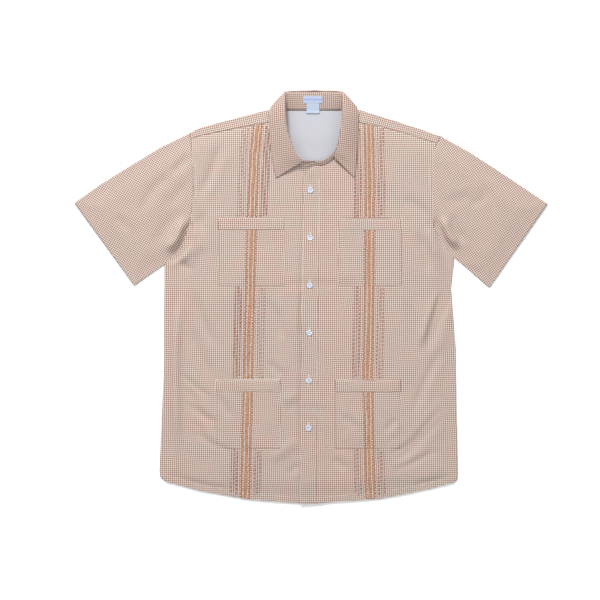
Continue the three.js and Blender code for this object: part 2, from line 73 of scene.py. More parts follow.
# "scallops" are the columns of rust dots either side of the embroidery's middle. "tucks" is how
# plainly the tuck stitching shows, to the wearer's right and left of it: above, between and below
# the pockets. "sleeve_grain" is how far the sleeve's own grain is turned, in degrees.
SIDES = {
    "right": {
        "sign": -1,
        "shoulder": [(-60.5, 366), (-84, 365.5), (-139, 352), (-218, 331), (-237, 321)],
        "overarm": [(-237, 321), (-296, 292), (-355, 256), (-414, 219), (-463.5, 184)],
        "cuff_end": (-346, 22),
        "underarm": (-287, 64),
        "armhole": [(-237, 321), (-232, 275), (-230, 213), (-233, 171)]
        + [(-240, 142), (-251, 100), (-263, 84), (-287, 64)],
        "yoke_seam": [(-63.5, 344), (-139, 331), (-218, 315.5), (-235.6, 308)],
        "side": [(-287, 64), (-288, -140), (-296.5, -340), (-295, -353), (-286, -361)],
        "neck": [(-63.5, 344), (-59, 326), (-52, 301), (-40.5, 280)]
        + [(-28, 267.5), (-14, 262), (UNDERLAP_X, 262)],
        "embroidery": [(-103, 345), (-110, 280), (-116, 156), (-119, 13)]
        + [(-123, -153), (-129, -400)],
        "scallops": (-8.0, 7.6),
        "tucks": ((0.3, 1.0), (1.0, 0.25), (0.8, 0.6)),
        "sleeve_grain": 59,
    },
    "left": {
        "sign": 1,
        "shoulder": [(71.5, 366), (95, 365.5), (135, 354), (194, 335), (255, 314)],
        "overarm": [(255, 314), (312, 282), (370, 244.5), (429, 205), (463.5, 182)],
        "cuff_end": (349, 18),
        "underarm": (281, 77),
        "armhole": [(255, 314), (239, 285), (237, 243), (238.5, 197)]
        + [(241, 140), (251, 113), (262, 98), (281, 77)],
        "yoke_seam": [(74.5, 344), (135, 333), (194, 317), (247, 300)],
        "side": [(281, 77), (274, 17), (283, -100), (287.5, -340), (287, -357), (282, -362.5)],
        "neck": [(74.5, 344), (70.5, 326), (63.5, 302), (52, 281), (40, 269)]
        + [(26, 262.5), (12, 257), PLACKET_TOP, CENTRE_TOP],
        "embroidery": [(112, 345), (115, 239), (114.5, 160), (113.5, 13)]
        + [(110.5, -153), (116, -400)],
        "scallops": (-7.6, 8.2),
        "tucks": ((0.9, 0.7), (0.7, 0.5), (0.5, 0.6)),
        "sleeve_grain": -56,
    },
}
POCKETS = ["chest_right", "lower_right", "chest_left", "lower_left"]

# ---- Folds of the top layer: half width, depth (below zero for a ridge), points along it ----

FOLDS = [
    # wearer's right sleeve
    (9, 2.6, [(-233, 280), (-256, 258), (-276, 235)]),
    (10, 2.1, [(-267, 248), (-312, 205), (-341, 154)]),
    (10, 1.6, [(-243, 225), (-264, 196), (-282, 170)]),
    (12, 2.4, [(-250, 176), (-286, 131), (-316, 88)]),
    (9, 1.8, [(-384, 160), (-370, 144), (-359, 127)]),
    (6, 9.0, [(-235, 154), (-240, 126), (-247, 103), (-260, 82), (-286, 68)]),
    (8, -7.6, [(-248, 158), (-257, 128), (-266, 108), (-288, 88)]),
    (9, -2.4, [(-218, 148), (-222, 120), (-228, 92), (-242, 66)]),
    # right side of the body
    (9, 2.8, [(-174, 313), (-194, 248), (-223, 186)]),
    (11, 3.0, [(-212, 176), (-218, 137), (-241, 86)]),
    (8, 2.2, [(-268, 72), (-250, 62), (-233, 48)]),
    (9, 2.6, [(-233, 19), (-218, -32), (-198, -79), (-182, -104)]),
    (7, 6.0, [(-262, 33), (-266, -6), (-276, -46), (-279, -138), (-278, -236), (-276, -335)]),
    (9, -3.6, [(-256, 10), (-262, -46), (-265, -138), (-263, -236), (-261, -330)]),
    (6, 1.3, [(-262, -144), (-222, -180), (-188, -202)]),
    (7, 1.5, [(-252, -202), (-212, -232), (-178, -251)]),
    (6, 1.2, [(-240, -258), (-196, -286), (-149, -304)]),
    (10, 2.2, [(-241, -51), (-218, -110), (-192, -169)]),
    (7, 1.4, [(-251, -169), (-222, -212), (-205, -247)]),
    (6, 1.3, [(-230, -240), (-200, -284)]),
    (9, 2.6, [(-276, -356), (-218, -374), (-150, -386)]),
    (8, 2.2, [(-86, 0), (-65, -46), (-55, -91)]),
    (7, 1.6, [(-84, -124), (-55, -157)]),
    (8, 1.8, [(-184, -189), (-153, -242)]),
    (10, -1.6, [(-22, -188), (-60, -206)]),
    (10, -1.6, [(-22, -275), (-86, -326)]),
    (7, 1.6, [(-24, -325), (-45, -350)]),
    # beside the placket
    (3, 1.6, [(-17.5, 228), (-19, 100), (-21, -60), (-24, -398)]),
    (4, 2.6, [(-19, 10), (-21.5, -40), (-22.5, -90)]),
    # across the middle
    (9, 0.7, [(-84, 11), (-27, 24), (43, 25), (102, 22)]),
    (8, 0.7, [(-30, -222), (0, -218), (40, -228)]),
    # left side of the body
    (10, 1.5, [(174, 195), (214, 172), (233, 150)]),
    (10, 3.0, [(208, 131), (223, 86), (233, 39)]),
    (11, 4.0, [(266, 20), (250, -26), (236, -71), (222, -118)]),
    (8, -3.0, [(250, 22), (233, -30), (218, -76), (206, -112)]),
    (6, 1.4, [(135, -318), (190, -290), (230, -246), (266, -204)]),
    (6, 1.3, [(150, -346), (204, -322), (256, -296)]),
    (7, 2.0, [(268, 0), (247, -46)]),
    (10, 2.2, [(184, 0), (200, -71), (218, -130)]),
    (8, 1.9, [(259, -91), (222, -169), (194, -244)]),
    (7, 1.6, [(263, -232), (227, -266), (190, -304), (149, -330)]),
    (7, 1.6, [(63, -228), (90, -261)]),
    (7, 1.6, [(169, -236), (141, -267)]),
    (8, 1.8, [(43, -314), (71, -339)]),
    (9, 2.6, [(196, -376), (236, -367), (268, -358)]),
    # wearer's left sleeve
    (10, 1.3, [(247, 178), (306, 195), (372, 206)]),
    (7, 1.8, [(306, 180), (345, 192)]),
    (9, 2.6, [(259, 145), (280, 120), (298, 97)]),
    (6, 9.0, [(242, 158), (250, 132), (260, 108), (278, 84)]),
    (8, -7.6, [(257, 158), (267, 134), (278, 114), (296, 94)]),
    (9, -2.4, [(226, 142), (233, 118), (242, 92), (256, 70)]),
    (8, 1.8, [(292, 58), (312, 50), (331, 39)]),
    (9, 1.6, [(330, 236), (352, 190), (362, 150)]),
]

FOLD_GAIN = 1.15  # every fold's depth in the table is multiplied by this
SWELL = 3.8  # the loose middle of the front over the pressed edges
SWELL_MARGIN = 46
SIDE_ROLL = 3.2  # radius of the rounded side edges
FRONT_Z = 1.7  # the front's middle where it lies close on the back
BACK_Z = 0.35
SEAM_Z = 1.0  # where front and back meet at a side edge
NECK_RISE = 1.8  # of the yoke, over the collar folded under it
THROAT_Y = 248
THROAT_LIFT = 2.6  # of the overlap's free corner under the collar
THROAT_DROP = 3.6  # of the underlap below it
SEAM_DIP = 0.12  # of the cloth drawn in along a seam
SEAM_WIDTH = 1.4
YOKE_OVERLAP = 1.2  # of the front's top edge under the yoke
YOKE_STEP_DOWN = 0.66  # of that edge below the yoke's cloth
SEAM_GAP = 0.3  # between two panels' edges where they are sewn together
LEAF_SLANT = 0.13  # rise of the leaf's check rows to each side

# ---- Sizes along the collar: right half and left half from the centre front, then the back ----

STAND_COLUMNS = ["seam_x", "seam_y", "top_x", "top_y", "top_z"]
STAND_FRONT = {
    "right": [
        (-2.5, 262, -2.5, 266.5, 10.2),
        (8, 261, 8, 266, 10.6),
        (19.5, 260.5, 19.5, 266, 11),
        (34, 266, 30, 272, 12),
        (47, 278.5, 40, 290, 14.6),
    ],
    "left": [
        (1.0, 256.5, 3.0, 263.5, 12),
        (9.5, 256.5, 10.5, 264.5, 11.6),
        (21, 259, 20, 268, 11.4),
        (35, 266.5, 34.5, 278, 12),
        (47.5, 279.5, 43.5, 290, 14.6),
    ],
}
STAND_BACK = [
    (59, 300, 51, 325, 18),
    (66, 326, 54, 350, 19),
    (69, 346, 54.5, 371, 17),
    (69, 361, 54.5, 387, 13),
    (60, 365, 56.5, 398.5, 9.6),
    (47, 365, 48, 400.6, 7.4),
    (22, 365, 22, 400.3, 6.7),
    (0, 365, 0, 401.2, 6.7),
]
LEAF_COLUMNS = [f"{part}_{axis}" for part in ("fold", "roll", "edge") for axis in "xyz"]
LEAF_FRONT = {
    "right": [
        (19.5, 264, 12.8, 36, 256, 11.5, 74, 232, 7.0),
        (24, 268, 15, 42, 262, 13.5, 77, 244, 7.2),
        (32, 277, 16, 48, 272, 17.5, 80, 260, 7.6),
        (41, 292, 18, 57, 289, 19, 84, 284, 7.6),
    ],
    "left": [
        (37, 276, 13.4, 48, 264, 11.5, 80, 232, 7.0),
        (40.5, 280, 15.5, 54, 270, 13.5, 82, 246, 7.2),
        (43.5, 285, 16.5, 58, 278, 17.5, 83, 262, 7.6),
        (46.5, 295, 18, 60, 291, 19, 84.5, 284, 7.6),
    ],
}
LEAF_BACK = [
    (52.5, 327, 20.5, 67, 326, 21.5, 86, 312, 8.2),
    (55, 352, 21.5, 69, 353, 21.5, 87, 338, 8.2),
    (55.5, 373, 19.5, 69, 372, 19, 86.5, 355, 7.6),
    (56, 389, 16, 69, 382, 15.5, 85.5, 364, 5.6),
    (57, 398, 12.5, 69, 389, 11.5, 84.5, 370, 5.0),
    (57, 400.5, 9.5, 70.5, 388, 6, 84, 371.5, 3.0),
    (55, 401, 8.0, 68, 394, 0.9, 82, 369, 0.7),
    (46, 400.5, 7.8, 58, 409, 0.7, 73, 358, 0.7),
    (32, 401, 7.8, 36, 411.5, 0.7, 40, 357, 0.7),
    (0, 402, 7.8, 0, 413, 0.7, 0, 356, 0.7),
]


# ---- Lines ----


def line(points):
    return np.array(points, float)


def lengths(points):
    """How far along a line each of its points is."""
    steps = np.linalg.norm(np.diff(points, axis=0), axis=1)
    return np.concatenate([[0], np.cumsum(steps)])


def spaced(points, step):
    """The line again with a point about every step, its corners kept."""
    points = line(points)
    out = [points[:1]]
    for start, end in zip(points[:-1], points[1:]):
        count = max(1, round(float(np.linalg.norm(end - start)) / step))
        share = np.arange(1, count + 1)[:, None] / count
        out.append(start + (end - start) * share)
    return np.vstack(out)


def along(points, share):
    """Points at shares 0 to 1 of the line's length."""
    points = line(points)
    run = lengths(points)
    at = np.asarray(share) * run[-1]
    return np.stack([np.interp(at, run, points[:, k]) for k in range(points.shape[1])], -1)


def curved(points, count):
    """A smooth curve through the points, count steps to each stretch."""
    points = line(points)
    padded = np.vstack([2 * points[0] - points[1], points, 2 * points[-1] - points[-2]])
    t = (np.arange(count) / count)[:, None]
    out = []
    for i in range(len(points) - 1):
        a, b, c, d = padded[i : i + 4]
        square = 2 * a - 5 * b + 4 * c - d
        cube = 3 * b - a - 3 * c + d
        out.append(0.5 * (2 * b + (c - a) * t + square * t**2 + cube * t**3))
    return np.vstack(out + [points[-1:]])


def x_at(points, y):
    """The x at height y of a line that runs down the shirt."""
    points = line(points)
    order = np.argsort(points[:, 1])
    return np.interp(y, points[order, 1], points[order, 0])


def y_at(points, x):
    """The y at x of a line that runs across the shirt."""
    return x_at(line(points)[:, ::-1], x)


def shifted(points, dx, dy):
    """The line moved by dx and dy."""
    return line(points) + (dx, dy)


def nearest(points, x, y):
    """Distance to a line, above zero on its left, and the share of the way along it."""
    points = line(points)
    run = lengths(points)
    best = np.full(np.shape(x), np.inf)
    signed = np.zeros(np.shape(x))
    share = np.zeros(np.shape(x))
    for i in range(len(points) - 1):
        ax, ay = points[i]
        dx, dy = points[i + 1] - points[i]
        size = dx * dx + dy * dy
        t = np.clip(((x - ax) * dx + (y - ay) * dy) / size, 0, 1)
        gap = np.hypot(x - ax - t * dx, y - ay - t * dy)
        side = np.sign((y - ay) * dx - (x - ax) * dy)
        closer = gap < best
        best = np.where(closer, gap, best)
        signed = np.where(closer, gap * side, signed)
        share = np.where(closer, (run[i] + t * math.sqrt(size)) / run[-1], share)
    return signed, share


def gap_to(points, x, y):
    """Distance to a line on either side."""
    return np.abs(nearest(points, x, y)[0])


def inside(polygon, x, y):
    """Which points lie in a closed outline."""
    hit = np.zeros(np.shape(x), bool)
    ends = np.roll(polygon, -1, axis=0)
    for (ax, ay), (bx, by) in zip(polygon, ends):
        crosses = (ay > y) != (by > y)
        with np.errstate(divide="ignore", invalid="ignore"):
            at = ax + (y - ay) * (bx - ax) / (by - ay)
        hit ^= crosses & (x < at)
    return hit


# ---- Shapes of heights ----


def smooth(share):
    t = np.clip(share, 0, 1)
    return t * t * (3 - 2 * t)


def rise(value, start, run):
    """0 up to start, 1 from a run beyond it, smooth between."""
    return smooth((value - start) / run)


def fall(value, start, run):
    """1 up to start, 0 from a run beyond it."""
    return 1 - rise(value, start, run)


def bell(distance, width):
    """1 at no distance, and nearly 0 from two widths on."""
    return np.exp(-((distance / width) ** 2))


RIPPLE_CELLS = 64


def ripple(x, y, size, seed):
    """Soft unevenness between -1 and 1, with lumps about size across."""
    table = np.random.default_rng(seed).uniform(-1, 1, (RIPPLE_CELLS, RIPPLE_CELLS))
    u, v = np.asarray(x) / size, np.asarray(y) / size
    i, j = np.floor(u).astype(int), np.floor(v).astype(int)
    s, t = smooth(u - i), smooth(v - j)
    rows = []
    for b in (0, 1):
        start, end = (table[(i + a) % RIPPLE_CELLS, (j + b) % RIPPLE_CELLS] for a in (0, 1))
        rows.append(start * (1 - s) + end * s)
    return rows[0] * (1 - t) + rows[1] * t


def rolled(z, gap, low, radius):
    """A height brought down to low round an edge, gap away from it."""
    t = np.clip(gap / radius, 0, 1)
    return low + (z - low) * np.sqrt(1 - (1 - t) ** 2)


# ---- Heights of the layers ----

PRESSED = [spaced(side[name], 400) for side in SIDES.values() for name in ("shoulder", "side")]
PRESSED += [line([*side["overarm"], side["cuff_end"], side["underarm"]]) for side in SIDES.values()]
PRESSED.append(line(HEM))
FOLD_LINES = [(width, depth, curved(points, 5)) for width, depth, points in FOLDS]
FOLD_REACH = 3.2  # how many half widths away a fold still moves the cloth
FOLD_FADE = 3.2  # an end of a fold fades in over its length divided by this
FOLD_BANK = 0.42  # the soft bank beside a fold, as a share of its depth
LUMPS = ((0.55, 60, 5), (0.28, 27, 6), (0.1, 11, 7))  # height, size and seed of loose cloth's lumps
LEAST_LUMPS = 0.35  # share of them where the cloth is pressed
PUCKER = 0.14  # of the cloth drawn up by the embroidery
PUCKER_REACH = 26
PUCKER_TURN = 0.62  # radians a millimetre along it
HEM_DEPTH = 10
HEM_RISE = 0.3  # of the cloth over the turned-up hem


def back_mid(x, y):
    """Middle of the back layer: on the surface, but over the collar folded under it."""
    neck = NECK_RISE * fall(np.abs(x - NECK_X), 95, 55) * rise(y, 280, 40)
    return BACK_Z + neck + 0.25 * (1 + ripple(x, y, 70, 3)) * smooth((330 - y) / 60)


def folds(x, y):
    """Height that the folds in the table add: each a groove, or a ridge, with a soft bank."""
    total = np.zeros(np.shape(x))
    for width, depth, points in FOLD_LINES:
        reach = FOLD_REACH * width
        low, high = points.min(0) - reach, points.max(0) + reach
        near = (x > low[0]) & (x < high[0]) & (y > low[1]) & (y < high[1])
        if not near.any():
            continue
        across, share = nearest(points, x[near], y[near])
        ends = smooth(share * FOLD_FADE) * smooth((1 - share) * FOLD_FADE)
        bank = FOLD_BANK * bell(across - 1.9 * width, 1.2 * width)
        total[near] += FOLD_GAIN * depth * ends * (bank - bell(across, width))
    return total


def relief(x, y):
    """How far the top layer stands off the back."""
    edge = np.min([gap_to(points, x, y) for points in PRESSED], axis=0)
    loose = smooth(edge / SWELL_MARGIN)
    lumps = sum(height * ripple(x, y, size, seed) for height, size, seed in LUMPS)
    total = SWELL * loose + folds(x, y) + lumps * (LEAST_LUMPS + (1 - LEAST_LUMPS) * loose)
    return 0.5 * (total + np.sqrt(total**2 + 0.5))  # never below zero


def top_mid(x, y):
    """Middle of the top layer, before any edge is rolled down."""
    return back_mid(x, y) + (FRONT_Z - BACK_Z) + relief(x, y)


def lap(x):
    """The wearer's left front lies over the other's underlap at the centre."""
    return LAYER * fall(x, 20, 14)


def front_mid(name, x, y):
    """Middle of a front: the top layer as its seams, embroidery and edges shape it."""
    side = SIDES[name]
    z = top_mid(x, y)
    if name == "left":
        z = z + lap(x) + THROAT_LIFT * bell(x + 3, 15) * bell(y - THROAT_Y, 17)
    else:
        z = z - THROAT_DROP * bell(x + 8, 12) * bell(y - THROAT_Y - 2, 13)
    seam = gap_to(side["armhole"], x, y)
    z = z + SEAM_DIP * (bell(seam - 4, 2.5) - bell(seam, SEAM_WIDTH))
    z = z - YOKE_STEP_DOWN * fall(y_at(side["yoke_seam"], x) - y, 0, 2.4)
    drawn = np.exp(-(((x - x_at(side["embroidery"], y)) / PUCKER_REACH) ** 4))
    wave = np.sin(y * PUCKER_TURN + 1.7 * ripple(x, y, 30, 9))
    z = z + PUCKER * drawn * wave * ripple(x, y, 22, 8)
    z = z + HEM_RISE * fall(gap_to(HEM, x, y), HEM_DEPTH, 3)
    return rolled(z, gap_to(side["side"], x, y), SEAM_Z, SIDE_ROLL)


# ---- Meshes ----


def blender_mesh(name, points, faces, materials, face_material=None, grain=None):
    mesh = bpy.data.meshes.new(name)
    mesh.from_pydata((np.asarray(points) * MM).tolist(), [], faces)
    for each in materials:
        mesh.materials.append(each)
    if face_material is not None:
        mesh.polygons.foreach_set("material_index", np.asarray(face_material, np.int32))
    mesh.polygons.foreach_set("use_smooth", np.full(len(mesh.polygons), True))
    if grain is not None:
        attribute = mesh.attributes.new("grain", "FLOAT_VECTOR", "POINT")
        flat = np.zeros((len(points), 3), np.float32)
        flat[:, :2] = grain
        attribute.data.foreach_set("vector", flat.ravel())
    mesh.update()
    piece = bpy.data.objects.new(name, mesh)
    bpy.context.scene.collection.objects.link(piece)
    return piece


def stand_in(piece, node_name):
    """The piece rides on the shirt's one body and is shown for a CAD node."""
    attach(piece, "root")
    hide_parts(node_name)


def net_faces(lines, steps, around=False):
    """Quads of a net of points, lines by steps; around closes each line on itself."""
    last = steps if around else steps - 1
    i, j = np.meshgrid(np.arange(lines - 1), np.arange(last), indexing="ij")
    a = (i * steps + j).ravel()
    b = (i * steps + (j + 1) % steps).ravel()
    return np.stack([a, a + steps, b + steps, b], -1)


def point_normals(points, faces):
    """Normals of points from an array of faces that all have as many corners."""
    corners = points[faces]
    if faces.shape[1] == 3:
        turn = np.cross(corners[:, 1] - corners[:, 0], corners[:, 2] - corners[:, 0])
    else:
        turn = np.cross(corners[:, 2] - corners[:, 0], corners[:, 3] - corners[:, 1])
    normals = np.zeros_like(points)
    for k in range(faces.shape[1]):
        np.add.at(normals, faces[:, k], turn)
    size = np.linalg.norm(normals, axis=1, keepdims=True)
    return normals / np.maximum(size, 1e-9)


def facing_up(points, faces, probe):
    """The faces, turned over if the cloth at the point probe faces down."""
    return faces if point_normals(points, faces)[probe][2] > 0 else faces[:, ::-1]


def shell_faces(faces, count):
    """Faces of a shell: a surface, its copy count points on, and the rim that joins them."""
    edges = np.stack([faces.ravel(), np.roll(faces, -1, axis=1).ravel()], -1)
    keys = np.sort(edges, axis=1)
    _, first, uses = np.unique(keys, axis=0, return_index=True, return_counts=True)
    rim = edges[first[uses == 1]]
    joined = np.stack([rim[:, 1], rim[:, 0], rim[:, 0] + count, rim[:, 1] + count], -1)
    return [faces.tolist(), (faces[:, ::-1] + count).tolist(), joined.tolist()]


def thickened(points, faces, wall):
    """A closed wall of cloth about a surface: its points, and its faces in three lists."""
    half = point_normals(points, faces) * wall / 2
    return np.vstack([points + half, points - half]), shell_faces(faces, len(points))


def cloth(
    name, points, faces, grain, wall=PLY, sides=None, islands=(), print_grain=None
):
    """A sheet of cloth: the shell of a surface, and any small solids sewn to it.
    """
    shell, parts = thickened(points, faces, wall)
    kinds = [0] * len(parts[0]) + [1] * len(parts[1]) + [0] * len(parts[2])
    printed = grain if print_grain is None else print_grain
    blocks, grains = [shell], [printed, printed]
    for more_points, more_faces, more_grain in islands:
        base = sum(len(block) for block in blocks)
        parts.append((more_faces + base).tolist())
        kinds += [0] * len(more_faces)
        blocks.append(more_points)
        grains.append(more_grain)
    every_face = [face for part in parts for face in part]
    materials = sides or (CHECK, WRONG_SIDE)
    piece = blender_mesh(
        f"{name}_cloth", np.vstack(blocks), every_face, materials, kinds, np.vstack(grains)
    )
    stand_in(piece, name)
    return piece


def triangles(points, edges, tolerance):
    """Triangles between flat points that keep the edges, all turned the same way."""
    found = delaunay_2d_cdt([Vector(p) for p in points], edges, [], 0, tolerance, False)
    flat = np.array([tuple(v) for v in found[0]])
    faces = np.array([face for face in found[2] if len(face) == 3])
    a, b, c = (flat[faces[:, k]] for k in range(3))
    area = (b[:, 0] - a[:, 0]) * (c[:, 1] - a[:, 1]) - (b[:, 1] - a[:, 1]) * (c[:, 0] - a[:, 0])
    faces[area < 0] = faces[area < 0][:, ::-1]
    faces = faces[np.abs(area) > 1e-6]
    return flat, faces, flat[faces].mean(1).T


def filled(outline, step, rings):
    """Points and triangles that fill an outline: its own points, rings inside it, a lattice."""
    outline = spaced(np.vstack([outline, outline[:1]]), step)[:-1]
    ahead = np.roll(outline, -1, axis=0) - np.roll(outline, 1, axis=0)
    inward = np.stack([-ahead[:, 1], ahead[:, 0]], -1)
    inward /= np.linalg.norm(inward, axis=1, keepdims=True)
    x, y = outline.T
    if np.sum(x * np.roll(y, -1) - np.roll(x, -1) * y) < 0:
        inward = -inward
    low, high = outline.min(0), outline.max(0)
    lattice = []
    for i, row_y in enumerate(np.arange(low[1], high[1], step * 0.87)):
        xs = np.arange(low[0] + (i % 2) * step / 2, high[0], step)
        lattice.append(np.stack([xs, np.full(len(xs), row_y)], -1))
    blocks = [(outline + inward * ring, ring * 0.8) for ring in rings]
    blocks.append((np.vstack(lattice), max(rings) + step * 0.5))
    closed = np.vstack([outline, outline[:1]])
    kept = [outline]
    for block, least in blocks:
        block = block[inside(outline, *block.T)]
        kept.append(block[gap_to(closed, *block.T) > least])
    count = len(outline)
    edges = [(i, (i + 1) % count) for i in range(count)]
    flat, faces, middles = triangles(np.vstack(kept), edges, 1e-4)
    faces = faces[inside(outline, *middles)]
    used = np.unique(faces)
    renumber = np.zeros(len(flat), int)
    renumber[used] = np.arange(len(used))
    return flat[used], renumber[faces]


def stand_up(flat, z):
    return np.column_stack([flat, z])


# ---- Materials ----


def material(name, roughness, **inputs):
    made = bpy.data.materials.new(name)
    made.use_nodes = True
    shader = made.node_tree.nodes["Principled BSDF"]
    shader.inputs["Roughness"].default_value = roughness
    for socket, value in inputs.items():
        shader.inputs[socket.replace("_", " ")].default_value = value
    return made, made.node_tree, shader


def node(tree, kind, **settings):
    made = tree.nodes.new(kind)
    for key, value in settings.items():
        setattr(made, key, value)
    return made


def feed(tree, socket, value):
    """Give a socket a number, a colour or what another node puts out."""
    if isinstance(value, (int, float)):
        socket.default_value = value
    elif isinstance(value, tuple):
        socket.default_value = (*value, 1)
    else:
        tree.links.new(value, socket)


def maths(tree, operation, *values):
    made = node(tree, "ShaderNodeMath", operation=operation)
    for socket, value in zip(made.inputs, values):
        feed(tree, socket, value)
    return made.outputs[0]


def ranged(tree, value, *limits):
    """A value brought smoothly from its low and high to the range's own, 0 to 1 if not given."""
    made = node(tree, "ShaderNodeMapRange", interpolation_type="SMOOTHSTEP")
    tree.links.new(value, made.inputs["Value"])
    for socket, limit in zip(("From Min", "From Max", "To Min", "To Max"), limits):
        made.inputs[socket].default_value = limit
    return made.outputs[0]


def mixed(tree, share, a, b):
    made = node(tree, "ShaderNodeMix", data_type="RGBA")
    for index, value in ((0, share), (6, a), (7, b)):
        feed(tree, made.inputs[index], value)
    return made.outputs[2]


def noise(tree, vector, scale, detail=2.0, roughness=0.5):
    made = node(tree, "ShaderNodeTexNoise")
    tree.links.new(vector, made.inputs["Vector"])
    for socket, value in (("Scale", scale), ("Detail", detail), ("Roughness", roughness)):
        made.inputs[socket].default_value = value
    return made.outputs["Fac"]


def bumped(tree, shader, height, strength, distance):
    made = node(tree, "ShaderNodeBump")
    made.inputs["Strength"].default_value = strength
    made.inputs["Distance"].default_value = distance
    tree.links.new(height, made.inputs["Height"])
    tree.links.new(made.outputs[0], shader.inputs["Normal"])


def coloured(tree, shader, colour):
    tree.links.new(colour, shader.inputs["Base Color"])


def place_of(tree):
    return node(tree, "ShaderNodeTexCoord").outputs["Object"]


def linear(red, green, blue):
    """Linear light of a colour given as it looks, 0 to 255."""
    return tuple(((c / 255 + 0.055) / 1.055) ** 2.4 for c in (red, green, blue))


CHECK_PITCH = 3.87
CHECK_BLUR = 0.22  # half the soft edge of a stripe
CREAM = linear(220, 217, 208)
WARP_TINT = linear(185, 160, 149)
WEFT_TINT = linear(190, 165, 154)
RUST = linear(120, 74, 62)
BARE_CLOTH = linear(186, 190, 198)  # the wrong side, which the print hardly reaches
SLUB_TINT = (0.45, 0.33, 0.29)
CLOUD_TINT = linear(214, 176, 160)
DRIFT_SCALE = 0.022
DRIFTS = (5.0, -4.4)  # how far the noise moves the warp's and the weft's stripes
YARN_TURN = 2.6 * math.tau / 2  # radians a millimetre, at 2.6 yarns a millimetre
RIB_TURN = 1.6 * math.tau  # the same for the ribs of a ribbon


def grain_of(tree):
    grain = node(tree, "ShaderNodeAttribute", attribute_name="grain")
    split = node(tree, "ShaderNodeSeparateXYZ")
    tree.links.new(grain.outputs["Vector"], split.inputs[0])
    return grain.outputs["Vector"], split.outputs[0], split.outputs[1]


def check_material(name, strength, shade=0.0):
    """Poplin with a small even check: strength of its print, and how far shade darkens it."""
    made, tree, shader = material(
        name, 0.86, Sheen_Weight=0.12, Sheen_Roughness=0.5, Specular_IOR_Level=0.25
    )
    grain, u, v = grain_of(tree)
    drift = noise(tree, grain, DRIFT_SCALE)
    quarter = CHECK_PITCH * 0.25
    shares, waves = [], []
    for coordinate, push in zip((u, v), DRIFTS):
        moved = maths(tree, "ADD", coordinate, maths(tree, "MULTIPLY", drift, push))
        stripe = maths(tree, "PINGPONG", moved, CHECK_PITCH / 2)
        shares.append(ranged(tree, stripe, quarter - CHECK_BLUR, quarter + CHECK_BLUR))
        waves.append(maths(tree, "SINE", maths(tree, "MULTIPLY", coordinate, YARN_TURN)))
    warp, weft = shares
    light, dark = mixed(tree, warp, CREAM, WARP_TINT), mixed(tree, warp, WEFT_TINT, RUST)
    colour = mixed(tree, weft, light, dark)
    if strength < 1:
        colour = mixed(tree, strength, BARE_CLOTH, colour)
    colour = mixed(tree, shade, colour, RUST)
    slub = noise(tree, grain, scale=1.3, detail=3.0, roughness=0.6)
    colour = mixed(tree, ranged(tree, slub, 0.3, 0.7, 0.0, 0.09), colour, SLUB_TINT)
    cloud = noise(tree, grain, scale=0.012)
    colour = mixed(tree, ranged(tree, cloud, 0.35, 0.65, 0.0, 0.06), colour, CLOUD_TINT)
    coloured(tree, shader, colour)
    weave = maths(tree, "MULTIPLY", *waves)
    height = maths(tree, "ADD", weave, maths(tree, "MULTIPLY", slub, 1.5))
    bumped(tree, shader, height, strength=0.22, distance=0.00012)
    return made


def thread_material(name, colour, shade, shine=0.6):
    """Twisted thread between two tones; the lower its shine number, the glossier it is."""
    made, tree, shader = material(name, shine, Sheen_Weight=0.2, Specular_IOR_Level=0.5)
    place = place_of(tree)
    tone = ranged(tree, noise(tree, place, scale=420), 0.3, 0.7)
    coloured(tree, shader, mixed(tree, tone, linear(*colour), linear(*shade)))
    bumped(tree, shader, noise(tree, place, scale=2600), strength=0.35, distance=0.0001)
    return made


def pearl_material():
    """Mother-of-pearl, clouded between a cool and a warmer white."""
    made, tree, shader = material(
        "pearl", 0.16, Coat_Weight=0.6, Coat_Roughness=0.06, Specular_IOR_Level=0.6
    )
    cloud = noise(tree, place_of(tree), scale=260, detail=3.0, roughness=0.6)
    tone = ranged(tree, cloud, 0.35, 0.65)
    coloured(tree, shader, mixed(tree, tone, linear(176, 192, 218), linear(220, 226, 236)))
    bumped(tree, shader, cloud, strength=0.1, distance=0.0002)
    return made


def ribbon_material(name, colour, band):
    """Satin ribbon with a plain woven band along its middle, band to each side of it."""
    made, tree, shader = material(name, 0.45, Sheen_Weight=0.3)
    grain, u, v = grain_of(tree)
    share = ranged(tree, maths(tree, "ABSOLUTE", v), band - 0.4, band, 1.0, 0.0)
    tone = ranged(tree, noise(tree, grain, scale=0.8, detail=3.0), 0.3, 0.7, 0.0, 0.25)
    base = mixed(tree, tone, linear(*colour), linear(192, 202, 224))
    woven = mixed(tree, maths(tree, "MULTIPLY", share, 0.6), base, linear(120, 140, 196))
    coloured(tree, shader, woven)
    ribs = maths(tree, "SINE", maths(tree, "MULTIPLY", u, RIB_TURN))
    bumped(tree, shader, ribs, strength=0.3, distance=0.0001)
    return made


CHECK = check_material("check_poplin", strength=1.0)
WRONG_SIDE = check_material("check_poplin_wrong_side", strength=0.06)
# The collar's copy of the check is mixed towards rust as painted shade, for the sloping raised
# collar.
COLLAR_CHECK = check_material("check_poplin_painted_shade", strength=1.0, shade=0.17)
ORANGE = thread_material("orange_satin_thread", (186, 122, 82), (214, 172, 134), shine=0.42)
RUST_THREAD = thread_material("rust_thread", (170, 94, 46), (202, 130, 76), shine=0.42)
DULL_RUST = thread_material("rust_stitching", (148, 74, 46), (172, 96, 66))
# Faded rust thread. Along the placket's edge it is also used as painted shadow.
FADED_RUST_AND_SHADOW = thread_material("faded_stitching_and_painted_shadow", (168, 112, 92), (184, 134, 116))
PALE_THREAD = thread_material("pale_stitching", (232, 226, 216), (218, 208, 196))
PEARL = pearl_material()
RIBBON = ribbon_material("label_ribbon", (172, 184, 212), band=1.6)
SIZE_RIBBON = ribbon_material("size_ribbon", (178, 190, 212), band=0.0)


# ---- Body panels ----

